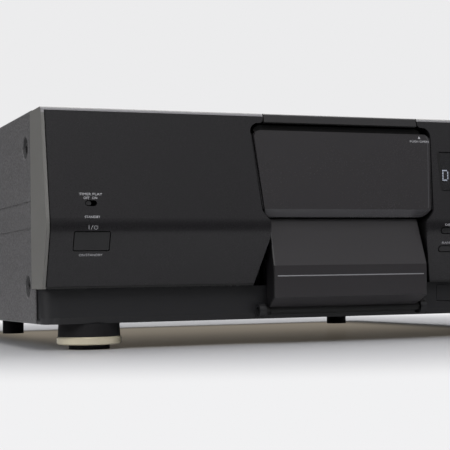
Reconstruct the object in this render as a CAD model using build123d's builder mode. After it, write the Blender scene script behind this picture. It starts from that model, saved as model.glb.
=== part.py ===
"""Carousel disc changer: a wide case whose front door tips forward to a ring of standing discs.

Millimetres, +Z up, +X to the right seen from the front, the front faces -Y.
The origin is on the resting surface, under the middle of the case.
"""
from build123d import *
from math import cos, degrees, hypot, pi, radians, sin, tan
import os

# ------------------------------------------------------------------ driving sizes
width = 440.0              # over the side panels
depth = 430.0              # from the door's crease to the tips of the rear jacks
body_height = 143.8        # moulded front, from the underside of the chassis to its top
foot_height = 17.6

# front face: an upper plane leaning back and a lower plane running back under it
crease_height = 63.3       # where the two planes meet, above the chassis
crease_setback = -0.6      # the sharp crease stands this far in front of the door
upper_lean = 0.167         # setback per height of the upper plane
lower_lean = 0.362
crease_radius = 25.0

# moulded front frame
bezel_depth = 30.6         # at the top, from the face to the back edge of the cheeks
bezel_wall = 2.2
bezel_web = 2.4            # wall behind the face plates
bezel_bottom = 23.6        # underside of the moulded front, above the chassis
bezel_top_round = 1.8
plate_thickness = 2.2
plate_gap = 0.7            # groove between frame and face plates
plate_seat = 0.1           # glue line behind the plates
plate_low_rim = 1.2
plate_top_rim = 2.2

# opening for the door in the front
cutout_low_half = 70.3
cutout_waist_half = 61.7
cutout_waist_height = 56.6
cutout_neck_height = 67.8  # above the waist the sides stand upright up to here
cutout_hip_half = 67.7     # round the lower corners of the door's window
cutout_hip_height = 74.6
cutout_top_half = 72.4
cutout_top_height = 137.0
cutout_corner = 6.5
cutout_bend = 7.0
cutout_neck_bend = 3.0
lintel_half = 60.8
lintel_gap = 0.8
lintel_depth = 7.0
lintel_corner = 3.0
lintel_chamfer = 0.8
tunnel_wall = 2.4
tunnel_depth = 32.0        # from the door's crease to the back of the tunnel walls

# door
window_top_half = 70.2
window_low_half = 65.2
window_top_height = 131.6
window_low_height = 70.8
window_bevel_height = 5.4
window_setback_top = 9.2   # from the door's crease to the window's top edge
window_setback_low = 2.0
window_bevel_run = 5.0
window_thickness = 3.0
window_top_corner = 5.0
window_low_corner = 7.0
window_edge_round = 0.9
chin_top_height = 69.6
chin_crease_height = 37.0
chin_fold_height = 15.0
chin_bottom_height = 8.0
chin_top_setback = 10.6
chin_fold_setback = 0.5
chin_bottom_setback = 13.2
chin_top_half = 59.2
chin_crease_half = 60.4
chin_wall = 2.5
chin_edge_round = 1.0
door_liner_setback = 13.4  # front of the liner plate behind window and chin
door_back_setback = 19.0
finger_recess_setback = 16.5
liner_half = 57.5
liner_top_height = 136.2
liner_inset = 2.0
liner_corner = 6.0
hinge_height = 6.0
hinge_setback = 16.0
hinge_barrel_radius = 3.2
hinge_pin_radius = 2.5
hinge_pin_reach = 7.6
hinge_ear_radius = 4.6
hinge_ear_thickness = 5.0
hinge_side_gap = 1.0
running_gap = 0.06         # radial, shafts in their bores
moving_gap = 0.3           # round buttons and other moving pieces
latch_case_width = 8.0
latch_case_height = 14.0
latch_low = 116.0
latch_setback = 21.4
latch_plunger_width = 4.0
latch_plunger_height = 6.0
latch_plunger_length = 7.0
plunger_round = 0.6
latch_travel = 1.8

# strip under the moulded front
strip_setback = 19.8
strip_side_gap = 0.4       # between the strip and the sides of the cover
strip_wall = 2.4
strip_corner = 12.0
strip_chamfer_height = 4.5
strip_chamfer_depth = 1.9
seam = 0.2                 # between pieces that are screwed or clipped together

# sheet-metal case
sheet = 1.2
cover_sheet = 1.0
cover_rise = 1.1           # top cover stands above the moulded front
cover_skirt = 1.1          # lower edge of the cover above the chassis underside
cover_lip = 11.4           # the sides reach this far forward beside the strip
flange_height = 24.0
dimple_radius = 8.3
dimple_floor_radius = 4.6
dimple_depth = 2.4
screw_head_radius = 3.7
screw_head_height = 1.8
screw_shank_radius = 1.5
screw_length = 6.0
press_line_heights = (82.6, 64.2)
press_line_depth = 0.4
press_line_width = 1.4
side_screw_upper = 120.5   # above the chassis
side_screw_lower = 25.4
side_screw_upper_setback = 59.0
side_screw_lower_setback = 55.0
side_screw_rear_inset = 30.0
bracket_width = 26.0
bracket_margin = 8.0
front_flange_height = 20.0
cover_bend = 1.6
rear_reach = 8.0           # jacks behind the rear panel
rear_screw_inset = 9.0

# feet
front_foot_inset = 39.0    # from the side of the case
front_foot_setback = 41.4
front_foot_radius = 21.3
front_foot_top_radius = 20.9
front_foot_drop = 9.0
foot_ring_radius = 22.2
foot_ring_height = 5.2
foot_ring_round = 0.8
foot_pad_radius = 14.0
rear_foot_inset = 55.9
rear_foot_forward = 71.0   # from the tips of the rear jacks
rear_foot_radius = 9.5

# controls, heights above the chassis
power_inset = 30.95        # middle of the button, from the side of the case
power_width = 25.1
power_low = 48.0
power_high = 61.0
power_corner = 1.2
power_travel = 2.0
timer_slot_inset = 26.6
timer_slot_width = 8.1
timer_slot_low = 77.5
timer_slot_height = 3.9
timer_knob_width = 3.6
timer_knob_recess = 0.5
oval_first_inset = 6.3     # right of the display's left edge
oval_pitch = 23.0
oval_columns = 3
oval_length = 17.8
oval_height = 3.8
oval_rows = {"upper": 60.9, "lower": 47.7}
oval_travel = 1.2
oval_proud = 0.6
button_gap = 0.6
dial_inset = 38.0          # from the right side of the case
dial_height = 37.5
dial_radius = 11.0
dial_proud = 5.0
dial_recess_gap = 0.8
dial_shaft_radius = 3.0
display_left = 75.9
display_inset = 15.0       # right edge, from the side of the case
display_low = 90.0
display_high = 119.3
display_corner = 1.5
display_rebate = 2.0       # ledge behind the edge of the display window
display_gap = 0.6          # dark line round the display window
display_recess = 0.6
tube_margin = 6.0
tube_depth = 7.0
board_thickness = 1.6
board_setback = 25.0       # front of the control board behind the door's crease
board_edge_gap = 2.0
switch_width = 6.0
switch_height = 4.0
power_switch_width = 12.0
switch_board_margin = 6.0
dial_sink = 1.4            # back of the dial behind the face
dial_shaft_length = 12.0
dial_edge_round = 1.0
encoder_width = 12.0
board_post_radius = 2.5
board_post_sink = 1.0      # posts grow out of the wall behind the face plates
board_post_low = 36.0
board_post_high = 78.0
board_post_inset = 11.4    # from the edges of the control board
switch_post_height = 72.0
switch_post_inset = 3.0    # from the edges of the switch board

# port flap in the strip
flap_inset = 3.7           # right of the display's left edge
flap_width = 26.0
flap_low = 9.6
flap_height = 11.7
flap_thickness = 1.8
flap_pin_radius = 0.6
flap_pin_reach = 1.2
socket_radius = 4.6
socket_depth = 8.0
socket_body_width = 14.0
socket_body_depth = 10.0
socket_body_height = 10.6

# carousel
slot_count = 200
core_radius = 60.0         # round space in the middle for the player
core_gap = 0.6
ring_front_gap = 10.0      # from the chassis front flange to the ring
ring_rear_gap = 15.2       # from the ring to the rear panel
ring_floor_thickness = 3.0
ring_floor_height = 14.5   # underside, above the chassis underside
floor_slot_width = 1.8
floor_slot_length = 47.0
divider_inset = 2.0        # from the ring's rim
divider_length = 34.0
divider_slot_gap = 3.0     # between the floor slots and the dividers
divider_thickness = 2.8
divider_height = 24.0
collar_wall = 6.0
collar_height = 16.0
base_plate_thickness = 3.0

# carousel drive
gear_inset = 6.0           # pitch circle inside the ring's rim
ring_teeth = 120
pinion_teeth = 12
tooth_share = 0.42         # tooth width at the pitch circle, part of the pitch
tooth_addendum = 0.73      # in modules
tooth_dedendum = 1.07
tooth_angle = 20.0
ring_gear_thickness = 4.0
ring_gear_rim = 7.0
pinion_drop = 0.5          # under the carousel floor
drive_direction = 225.0
drive_pulley_radius = 15.0
motor_pulley_radius = 6.0
pulley_width = 4.0
belt_thickness = 1.5
belt_width = 3.0
belt_gap = 0.1
pulley_height = 3.0
motor_side_gap = 12.8      # between the motor's bracket and the side flange
motor_forward = 17.8       # in front of the drive pulley
motor_radius = 12.0
motor_length = 26.0
motor_lift = 1.0           # motor above its pulley
motor_bracket = 1.6
shaft_sink = 3.0           # shafts inside their motors
axle_radius = 1.5
roller_count = 3
roller_first = 90.0
roller_inset = 20.0        # inside the ring gear's pitch circle
roller_radius = 5.0
roller_width = 6.0
roller_cheek = 1.6

# player in the middle of the ring
player_plate = 3.0
player_plate_x = -20.0     # rear face of the upright plate
player_corner = 6.0
player_half_width = 48.0
player_height = 128.0
spindle_height = 77.5
spindle_shaft_radius = 1.5
disc_half_thickness = 0.6
turntable_radius = 14.0
turntable_thickness = 3.0
spindle_motor_radius = 12.0
spindle_motor_length = 14.0
sled_start = 26.0          # lens below the spindle
sled_travel = 30.0
sled_half_width = 22.0
sled_length = 12.0
sled_depth = 9.0
sled_standoff = 3.0
sled_rod_radius = 1.5
rod_lug = 6.0
sled_rod_spacing = 32.0
lens_radius = 3.0
lens_rise = 1.0
clamp_plane_x = 8.0
clamp_pivot_back = 38.0
clamp_arm_width = 14.0
clamp_arm_thickness = 3.0
clamp_puck_radius = 13.0
loader_plane_x = 20.0
loader_pivot_back = 20.0
loader_pivot_height = 30.0
loader_length = 35.0
loader_width = 9.0
loader_thickness = 3.0
pusher_reach = 2.0         # end of the pusher pin beside the disc
cam_module = 1.0
cam_teeth = 40
cam_pinion_teeth = 10
cam_gear_thickness = 4.0
cam_gear_x = 31.0
cam_gear_forward = 16.0
cam_gear_height = 18.0
load_motor_turn = 74.0
load_motor_radius = 9.0
load_motor_length = 24.0

# electrics
transformer_width = 46.0
transformer_length = 34.0
transformer_height = 38.0
transformer_inset = 14.0
coil_swell = 6.0
main_board_width = 54.0
main_board_length = 56.0
capacitor_radius = 5.0
capacitor_height = 16.0
capacitor_pitch = 16.0
heat_sink_depth = 10.0
heat_sink_height = 24.0
standoff_inset = 5.0
main_board_height = 10.0
main_board_inset = 8.0
standoff_radius = 3.0
rca_offset = 63.0          # from the inlet
jack_height = 70.0
rca_pitch = 18.0
rca_radius = 4.15
rca_bore_radius = 1.6
rca_neck_radius = 3.4       # insulator between the panel and the shell
rca_shell_length = 7.2
control_jack_offset = 55.0   # from the output jacks
control_jack_radius = 1.8
control_jack_collar = 4.0
control_jack_pitch = 16.0
jack_body_depth = 12.0
jack_body_height = 14.0
control_jack_rise = 2.0
control_jack_depth = 9.0
inlet_inset = 42.0         # from the side of the case
inlet_height = 50.0
inlet_width = 26.0
inlet_tall = 15.0
inlet_lip = 1.6            # flange around the body of the inlet
inlet_flange = 1.6
inlet_depth = 14.0
inlet_slot_width = 17.0
inlet_slot_height = 9.0
inlet_pin_radius = 1.2
inlet_pin_pitch = 8.6

# ------------------------------------------------------------------ places worked out from them
front_y = -depth / 2
base_z = foot_height
top_z = base_z + body_height
crease_z = base_z + crease_height
crease_y = front_y + crease_setback
rear_face_y = depth / 2 - rear_reach
panel_y = rear_face_y - sheet


def up(height):
    """Z of a height above the chassis underside."""
    return base_z + height


def face_y(z):
    """Y of the sharp front face at a height."""
    if z >= crease_z:
        return crease_y + (z - crease_z) * upper_lean
    return crease_y + (crease_z - z) * lower_lean


face_top_y = face_y(top_z)
bezel_back_y = face_top_y + bezel_depth
bezel_low_z = up(bezel_bottom)
cover_front_y = bezel_back_y + seam
cover_top_z = top_z + cover_rise
strip_y = front_y + strip_setback
flange_front_y = strip_y + strip_wall + seam
flange_x = width / 2 - cover_sheet - dimple_depth - seam / 2
hinge_y = front_y + hinge_setback
hinge_z = up(hinge_height)
ring_front_y = flange_front_y + sheet + ring_front_gap
ring_back_y = panel_y - ring_rear_gap
ring_outer_radius = (ring_back_y - ring_front_y) / 2
carousel_y = (ring_front_y + ring_back_y) / 2
ring_floor_z = up(ring_floor_height)
ring_top_z = ring_floor_z + ring_floor_thickness
pan_top_z = base_z + sheet
board_y = front_y + board_setback
tunnel_back_y = front_y + tunnel_depth
ring_gear_radius = ring_outer_radius - gear_inset
gear_module = 2 * ring_gear_radius / ring_teeth
pinion_radius = gear_module * pinion_teeth / 2
pinion_distance = ring_gear_radius + pinion_radius
pulley_low_z = up(pulley_height)
pinion_top_z = ring_floor_z - pinion_drop
reach = depth              # long enough for any cut through the front
strip_half = width / 2 - cover_sheet - strip_side_gap
display_right = width / 2 - display_inset
dial_x = width / 2 - dial_inset
flap_left = display_left + flap_inset
oval_first_x = display_left + oval_first_inset
power_centre_x = power_inset - width / 2
power_left = power_centre_x - power_width / 2
power_right = power_centre_x + power_width / 2
timer_slot_left = timer_slot_inset - width / 2
timer_x = timer_slot_left + timer_slot_width / 2
timer_z = up(timer_slot_low) + timer_slot_height / 2
board_left_x = cutout_top_half + tunnel_wall + board_edge_gap
board_right_x = width / 2 - bezel_wall - board_edge_gap
switch_board_left = power_left - switch_board_margin
switch_board_right = power_right + switch_board_margin
board_posts = [
    (x, up(height))
    for x in (board_left_x + board_post_inset, board_right_x - board_post_inset)
    for height in (board_post_low, board_post_high)
]
board_posts += [
    (x, up(switch_post_height))
    for x in (switch_board_left + switch_post_inset, switch_board_right - switch_post_inset)
]
oval_places = {
    f"oval_button_{row}_{column + 1}": (oval_first_x + oval_pitch * column, up(height))
    for row, height in oval_rows.items()
    for column in range(oval_columns)
}
os.makedirs("parts", exist_ok=True)


# ------------------------------------------------------------------ outlines that several pieces share
def save(piece, label):
    """Name a finished piece and write it."""
    piece.label = label
    export_step(piece, f"parts/{label}.step")


def front_plane(y):
    """Plane across the case at a depth; solids drawn on it grow towards the front."""
    return Plane.XZ.offset(-y)


def corner_at(sketch, x, y):
    """The corner of a sketch nearest to a point."""
    return sketch.vertices().sort_by(lambda v: hypot(v.X - x, v.Y - y))[0]


def face_section(front_set, back_y, low, high, x=0.0):
    """Side view of a solid whose front follows the face, front_set behind it, with a flat back."""
    with BuildSketch(Plane.YZ.offset(x)) as section:
        with BuildLine():
            Polyline(
                (back_y, low),
                (face_y(low) + front_set, low),
                (crease_y + front_set, crease_z),
                (face_y(high) + front_set, high),
                (back_y, high),
                close=True,
            )
        make_face()
        fillet(corner_at(section, crease_y + front_set, crease_z), crease_radius)
    return section.sketch


def face_layer(front_set, back_set, low, high, x=0.0):
    """Side view of a plate that follows the face."""
    with BuildSketch(Plane.YZ.offset(x)) as section:
        with BuildLine():
            Polyline(
                (face_y(low) + front_set, low),
                (crease_y + front_set, crease_z),
                (face_y(high) + front_set, high),
                (face_y(high) + back_set, high),
                (crease_y + back_set, crease_z),
                (face_y(low) + back_set, low),
                close=True,
            )
        make_face()
        fillet(corner_at(section, crease_y + front_set, crease_z), crease_radius)
        fillet(corner_at(section, crease_y + back_set, crease_z), crease_radius)
    return section.sketch


def upper_face_section(back_y, low, high, x):
    """Side view of a solid whose front follows the upper plane alone, with a flat back."""
    return side_polygon([(back_y, low), (face_y(low), low), (face_y(high), high), (back_y, high)], x)


def cutout_outline(y, grow=0.0, lintel_slot=False):
    """Front view of the door's opening, with the slot for the lintel above it if asked."""
    low = bezel_low_z - bezel_wall
    high = up(cutout_top_height)
    slot_half = lintel_half + lintel_gap
    points = [
        (0, low),
        (cutout_low_half, low),
        (cutout_low_half, bezel_low_z),
        (cutout_waist_half, up(cutout_waist_height)),
        (cutout_waist_half, up(cutout_neck_height)),
        (cutout_hip_half, up(cutout_hip_height)),
        (cutout_top_half, high),
    ]
    if lintel_slot:
        points += [(slot_half, high), (slot_half, top_z + bezel_wall), (0, top_z + bezel_wall)]
    else:
        points += [(0, high)]
    with BuildSketch(front_plane(y)) as outline:
        with BuildLine():
            Polyline(*points, close=True)
        make_face()
        fillet(corner_at(outline, cutout_waist_half, up(cutout_waist_height)), cutout_bend)
        fillet(corner_at(outline, cutout_waist_half, up(cutout_neck_height)), cutout_neck_bend)
        fillet(corner_at(outline, cutout_hip_half, up(cutout_hip_height)), cutout_bend)
        fillet(corner_at(outline, cutout_top_half, high), cutout_corner)
        if lintel_slot:
            fillet(corner_at(outline, slot_half, high), lintel_corner)
        mirror(about=Plane.YZ)
        if grow:
            offset(amount=grow, kind=Kind.INTERSECTION)
    return outline.sketch


def rectangle_at(y, x_low, x_high, z_low, z_high, corner=0.0):
    """Front view of a rectangle, with round corners if asked."""
    with BuildSketch(front_plane(y)) as outline:
        with Locations(((x_low + x_high) / 2, (z_low + z_high) / 2)):
            Rectangle(x_high - x_low, z_high - z_low)
        if corner:
            fillet(outline.vertices(), corner)
    return outline.sketch


def slot_at(y, x, z, length, height):
    """Front view of a rounded slot."""
    with BuildSketch(front_plane(y)) as outline:
        with Locations((x, z)):
            SlotOverall(length, height)
    return outline.sketch


def box_outline(y, x, z, wide, tall):
    """Front view of a rectangle about a point."""
    return rectangle_at(y, x - wide / 2, x + wide / 2, z - tall / 2, z + tall / 2)


def front_spot(x, y, z):
    """Plane that faces the front at a point."""
    return Plane(origin=(x, y, z), x_dir=(1, 0, 0), z_dir=(0, -1, 0))


def disc_on(plane, radius):
    """A round outline on a plane."""
    with BuildSketch(plane) as outline:
        Circle(radius)
    return outline.sketch


def side_polygon(points, x):
    """Side view outline from (y, z) points, drawn at an x."""
    with BuildSketch(Plane.YZ.offset(x)) as outline:
        with BuildLine():
            Polyline(*points, close=True)
        make_face()
    return outline.sketch


def gear_outline(teeth, module, plane, phase):
    """Outline of a spur gear with straight flanks, a tooth's middle at the phase angle."""
    pitch = teeth * module / 2
    tip = pitch + tooth_addendum * module
    root = pitch - tooth_dedendum * module
    half = pi * module * tooth_share / 2
    slope = tan(radians(tooth_angle))
    tip_angle = degrees((half - tooth_addendum * module * slope) / tip)
    root_angle = degrees((half + tooth_dedendum * module * slope) / root)
    flank = ((root, -root_angle), (tip, -tip_angle), (tip, tip_angle), (root, root_angle))
    points = []
    for tooth in range(teeth):
        middle = phase + 360 * tooth / teeth
        for radius, turn in flank:
            angle = radians(middle + turn)
            points.append((radius * cos(angle), radius * sin(angle)))
    with BuildSketch(plane) as outline:
        with BuildLine():
            Polyline(*points, close=True)
        make_face()
    return outline.sketch


def cut(sketch, amount, both=False):
    """Cut a drawn outline through the piece being made."""
    extrude(sketch, amount=amount, both=both, mode=Mode.SUBTRACT)


lower_normal = Vector(0, -1, -lower_lean).normalized()
dial_plane = Plane(
    origin=(dial_x, face_y(up(dial_height)), up(dial_height)), x_dir=(1, 0, 0), z_dir=lower_normal
)


def cut_left_controls():
    """Openings for the power button and the timer switch."""
    cut(rectangle_at(0, power_left, power_right, up(power_low), up(power_high), power_corner), reach)
    cut(slot_at(0, timer_x, timer_z, timer_slot_width, timer_slot_height), reach)


def cut_right_controls(display_margin):
    """Openings for the display, the oval buttons and the dial."""
    cut(
        rectangle_at(
            0,
            display_left + display_margin,
            display_right - display_margin,
            up(display_low) + display_margin,
            up(display_high) - display_margin,
            display_corner,
        ),
        reach,
    )
    for x, z in oval_places.values():
        cut(slot_at(0, x, z, oval_length + 2 * button_gap, oval_height + 2 * button_gap), reach)


# ------------------------------------------------------------------ moulded front frame
with BuildPart() as door_tunnel:
    extrude(cutout_outline(tunnel_back_y, tunnel_wall), amount=tunnel_depth)
    extrude(
        face_section(plate_thickness, tunnel_back_y, bezel_low_z, top_z - bezel_wall / 2),
        amount=width / 2,
        both=True,
        mode=Mode.INTERSECT,
    )

with BuildPart() as front_bezel:
    extrude(face_section(0, bezel_back_y, bezel_low_z, top_z), amount=width / 2, both=True)
    top_edges = front_bezel.edges().filter_by(Axis.X).group_by(Axis.Z)[-1]
    fillet(top_edges.sort_by(Axis.Y)[0], bezel_top_round)
    cut(
        face_section(
            plate_thickness + bezel_web,
            bezel_back_y + bezel_wall,
            bezel_low_z + bezel_wall,
            top_z - bezel_wall,
        ),
        width / 2 - bezel_wall,
        both=True,
    )
    add(door_tunnel.part)
    cut(cutout_outline(bezel_back_y + bezel_wall), reach)
    cut(cutout_outline(face_top_y + lintel_depth, lintel_slot=True), reach)
    cut(
        face_layer(-bezel_wall, plate_thickness, bezel_low_z + plate_low_rim, top_z - plate_top_rim),
        width / 2 - bezel_wall,
        both=True,
    )
    cut_left_controls()
    cut_right_controls(display_rebate)
    cut(disc_on(dial_plane.offset(-plate_thickness - bezel_web * 2), dial_shaft_radius + running_gap), reach)
    # posts that carry the two circuit boards
    for x, z in board_posts:
        post_length = board_y - face_y(z) - plate_thickness - bezel_web + board_post_sink
        extrude(disc_on(front_spot(x, board_y, z), board_post_radius), amount=post_length)
save(front_bezel.part, "front_bezel")

# ------------------------------------------------------------------ face plates and lintel
plate_edge_x = width / 2 - bezel_wall - plate_gap
plate_inner_x = lintel_half - lintel_corner
plate_low_z = bezel_low_z + plate_low_rim + seam
plate_high_z = top_z - plate_top_rim - seam
plate_back = plate_thickness - plate_seat
plate_span = plate_edge_x - plate_inner_x

with BuildPart() as face_plate_left:
    extrude(face_layer(0, plate_back, plate_low_z, plate_high_z, -plate_edge_x), amount=plate_span)
    cut(cutout_outline(0, lintel_slot=True), reach)
    cut_left_controls()
save(face_plate_left.part, "face_plate_left")

with BuildPart() as face_plate_right:
    extrude(face_layer(0, plate_back, plate_low_z, plate_high_z, plate_inner_x), amount=plate_span)
    cut(cutout_outline(0, lintel_slot=True), reach)
    cut_right_controls(0)
    cut(disc_on(dial_plane.offset(-plate_thickness * 2), dial_radius + dial_recess_gap), reach)
save(face_plate_right.part, "face_plate_right")

lintel_back_y = face_top_y + lintel_depth - seam
lintel_low_z = up(cutout_top_height)
with BuildPart() as door_lintel:
    extrude(upper_face_section(lintel_back_y, lintel_low_z, top_z, -lintel_half), amount=2 * lintel_half)
    top_edges = door_lintel.edges().filter_by(Axis.X).group_by(Axis.Z)[-1]
    fillet(top_edges.sort_by(Axis.Y)[0], bezel_top_round)
    low_edges = door_lintel.edges().filter_by(Axis.X).group_by(Axis.Z)[0]
    chamfer(low_edges.sort_by(Axis.Y)[0], lintel_chamfer)
save(door_lintel.part, "door_lintel")

# ------------------------------------------------------------------ display, board and controls
window_left_x = display_left + display_gap
window_right_x = display_right - display_gap
window_low_z = up(display_low) + display_gap
window_high_z = up(display_high) - display_gap
board_low_z = bezel_low_z + bezel_wall + board_edge_gap
board_high_z = up(display_high) + board_edge_gap
switch_y = board_y - switch_height
power_z = up((power_low + power_high) / 2)
dial_shaft_end = dial_plane.origin - lower_normal * (dial_sink + dial_shaft_length)

with BuildPart() as display_window:
    extrude(
        side_polygon(
            [
                (face_y(window_low_z) + display_recess, window_low_z),
                (face_y(window_high_z) + display_recess, window_high_z),
                (face_y(window_high_z) + plate_back, window_high_z),
                (face_y(window_low_z) + plate_back, window_low_z),
            ],
            window_left_x,
        ),
        amount=window_right_x - window_left_x,
    )
    extrude(
        rectangle_at(
            board_y,
            window_left_x,
            window_right_x,
            window_low_z,
            window_high_z,
            display_corner,
        ),
        amount=reach,
        mode=Mode.INTERSECT,
    )
save(display_window.part, "display_window")

with BuildPart() as display_tube:
    extrude(
        rectangle_at(
            board_y,
            display_left + tube_margin,
            display_right - tube_margin,
            up(display_low) + tube_margin,
            up(display_high) - tube_margin,
            display_corner,
        ),
        amount=tube_depth,
    )
save(display_tube.part, "display_tube")

with BuildPart() as control_board:
    extrude(
        rectangle_at(board_y + board_thickness, board_left_x, board_right_x, board_low_z, board_high_z),
        amount=board_thickness,
    )
save(control_board.part, "control_board")

with BuildPart() as switch_board:
    extrude(
        rectangle_at(
            board_y + board_thickness,
            switch_board_left,
            switch_board_right,
            up(power_low) - switch_board_margin,
            timer_z + switch_board_margin,
        ),
        amount=board_thickness,
    )
save(switch_board.part, "switch_board")

with BuildPart() as key_switches:
    for x, z in oval_places.values():
        extrude(box_outline(board_y, x, z, switch_width, switch_width), amount=switch_height)
    extrude(
        box_outline(board_y, power_centre_x, power_z, power_switch_width, power_switch_width),
        amount=switch_height,
    )
    extrude(
        box_outline(board_y, timer_x, timer_z, timer_slot_width + switch_width, switch_width),
        amount=switch_height,
    )
    # encoder behind the slanting end of the dial's shaft
    encoder_y = dial_shaft_end.Y + dial_shaft_radius * lower_lean + seam
    extrude(
        box_outline(board_y, dial_x, dial_shaft_end.Z, encoder_width, encoder_width),
        amount=board_y - encoder_y,
    )
save(key_switches.part, "key_switches")


def keep_behind_face(proud, back_y):
    """Trim a button so that its front follows the face, standing proud of it."""
    extrude(
        face_section(-proud, back_y, bezel_low_z, top_z),
        amount=width / 2,
        both=True,
        mode=Mode.INTERSECT,
    )


for name, (x, z) in oval_places.items():
    with BuildPart() as oval_button:
        oval_back_y = switch_y - oval_travel - seam
        extrude(slot_at(oval_back_y, x, z, oval_length, oval_height), amount=reach / 4)
        keep_behind_face(oval_proud, oval_back_y)
    save(oval_button.part, name)

power_back_y = switch_y - power_travel - seam
with BuildPart() as power_button:
    extrude(
        rectangle_at(
            power_back_y,
            power_left + button_gap,
            power_right - button_gap,
            up(power_low) + button_gap,
            up(power_high) - button_gap,
            power_corner - button_gap,
        ),
        amount=reach / 4,
    )
    keep_behind_face(0, power_back_y)
save(power_button.part, "power_button")

timer_back_y = switch_y - seam
with BuildPart() as timer_slider:
    extrude(
        slot_at(
            timer_back_y,
            timer_slot_left + button_gap + timer_knob_width / 2,
            timer_z,
            timer_knob_width,
            timer_slot_height - 2 * button_gap,
        ),
        amount=reach / 4,
    )
    keep_behind_face(-timer_knob_recess, timer_back_y)
save(timer_slider.part, "timer_slider")

with BuildPart() as jog_dial:
    extrude(disc_on(dial_plane.offset(-dial_sink), dial_radius), amount=dial_sink + dial_proud)
    fillet(jog_dial.edges().filter_by(GeomType.CIRCLE).sort_by(Axis.Y)[0], dial_edge_round)
    extrude(disc_on(dial_plane.offset(-dial_sink), dial_shaft_radius), amount=-dial_shaft_length)
save(jog_dial.part, "jog_dial")

# ------------------------------------------------------------------ door
liner_y = front_y + door_liner_setback
door_back_y = front_y + door_back_setback
window_top_y = front_y + window_setback_top
window_low_y = front_y + window_setback_low
window_bevel_z = up(window_low_height + window_bevel_height)


def window_outline(y, inset):
    """Front view of the door's window, drawn in by an inset."""
    with BuildSketch(front_plane(y)) as outline:
        with BuildLine():
            Polyline(
                (-window_top_half, up(window_top_height)),
                (window_top_half, up(window_top_height)),
                (window_low_half, up(window_low_height)),
                (-window_low_half, up(window_low_height)),
                close=True,
            )
        make_face()
        fillet(outline.vertices().group_by(Axis.Y)[0], window_low_corner)
        fillet(outline.vertices().group_by(Axis.Y)[-1], window_top_corner)
        if inset:
            offset(amount=-inset)
    return outline.sketch


def window_side(set_back, back_y):
    """Side view of the door's window: leaning front, bevelled lower edge, flat back."""
    low_z = up(window_low_height) - 1 if set_back else up(window_low_height)
    return side_polygon(
        [
            (back_y, up(window_top_height)),
            (window_top_y + set_back, up(window_top_height)),
            (window_low_y + set_back, window_bevel_z),
            (window_low_y + window_bevel_run + set_back, low_z),
            (back_y, low_z),
        ],
        -window_top_half,
    )


with BuildPart() as window_hollow:
    extrude(window_outline(liner_y + 1, window_thickness), amount=reach / 4)
    extrude(window_side(window_thickness, liner_y + 1), amount=2 * window_top_half, mode=Mode.INTERSECT)

with BuildPart() as door_window:
    extrude(window_outline(liner_y, 0), amount=reach / 4)
    extrude(window_side(0, liner_y), amount=2 * window_top_half, mode=Mode.INTERSECT)
    add(window_hollow.part, mode=Mode.SUBTRACT)
save(door_window.part, "door_window")


def chin_outline(y, inset):
    """Front view of the chin, its sides drawn in by an inset."""
    with BuildSketch(front_plane(y)) as outline:
        with BuildLine():
            Polyline(
                (inset - chin_top_half, up(chin_top_height)),
                (chin_top_half - inset, up(chin_top_height)),
                (chin_crease_half - inset, up(chin_crease_height)),
                (chin_crease_half - inset, up(chin_fold_height)),
                (chin_top_half - inset, up(chin_bottom_height)),
                (inset - chin_top_half, up(chin_bottom_height)),
                (inset - chin_crease_half, up(chin_fold_height)),
                (inset - chin_crease_half, up(chin_crease_height)),
                close=True,
            )
        make_face()
    return outline.sketch


def chin_side(inset):
    """Side view of the chin: upper slope, crease, lower face and bottom bevel."""
    return side_polygon(
        [
            (liner_y, up(chin_top_height) - inset),
            (front_y + chin_top_setback + inset, up(chin_top_height) - inset),
            (front_y + inset, up(chin_crease_height)),
            (front_y + chin_fold_setback + inset, up(chin_fold_height) + inset / 2),
            (front_y + chin_bottom_setback - inset, up(chin_bottom_height) + inset),
            (liner_y, up(chin_bottom_height) + inset),
        ],
        -chin_crease_half,
    )


with BuildPart() as chin_hollow:
    extrude(chin_outline(liner_y, chin_wall), amount=reach / 4)
    extrude(chin_side(chin_wall), amount=2 * chin_crease_half, mode=Mode.INTERSECT)

with BuildPart() as door_chin:
    extrude(chin_outline(liner_y, 0), amount=reach / 4)
    extrude(chin_side(0), amount=2 * chin_crease_half, mode=Mode.INTERSECT)
    chin_ends = door_chin.edges().filter_by(lambda e: abs(e.center().X) > chin_top_half - chin_wall)
    fillet(chin_ends.filter_by(lambda e: e.center().Y < liner_y - chin_wall), chin_edge_round)
    add(chin_hollow.part, mode=Mode.SUBTRACT)
save(door_chin.part, "door_chin")

liner_low_half = window_low_half - liner_inset
liner_top_half = window_top_half - liner_inset
hinge_pin_half = liner_half + hinge_pin_reach


def hinge_circle(x, radius):
    """A round outline about the door's hinge axis."""
    return disc_on(Plane(origin=(x, hinge_y, hinge_z), x_dir=(0, 1, 0), z_dir=(1, 0, 0)), radius)


with BuildPart() as door_liner:
    with BuildSketch(front_plane(door_back_y)) as liner_face:
        with BuildLine():
            Polyline(
                (-liner_half, hinge_z),
                (liner_half, hinge_z),
                (liner_half, up(chin_top_height)),
                (liner_low_half, up(window_low_height + window_bevel_height)),
                (liner_top_half, up(liner_top_height)),
                (-liner_top_half, up(liner_top_height)),
                (-liner_low_half, up(window_low_height + window_bevel_height)),
                (-liner_half, up(chin_top_height)),
                close=True,
            )
        make_face()
        fillet(liner_face.vertices().group_by(Axis.Y)[-1], liner_corner)
    extrude(amount=door_back_y - liner_y)
    # the finger recess above the window is deeper than the liner's front
    cut(
        rectangle_at(
            front_y + finger_recess_setback,
            -liner_top_half,
            liner_top_half,
            up(window_top_height),
            up(liner_top_height),
        ),
        reach,
    )
    extrude(hinge_circle(-liner_half, hinge_barrel_radius), amount=2 * liner_half)
    extrude(hinge_circle(-hinge_pin_half, hinge_pin_radius), amount=2 * hinge_pin_half)
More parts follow.
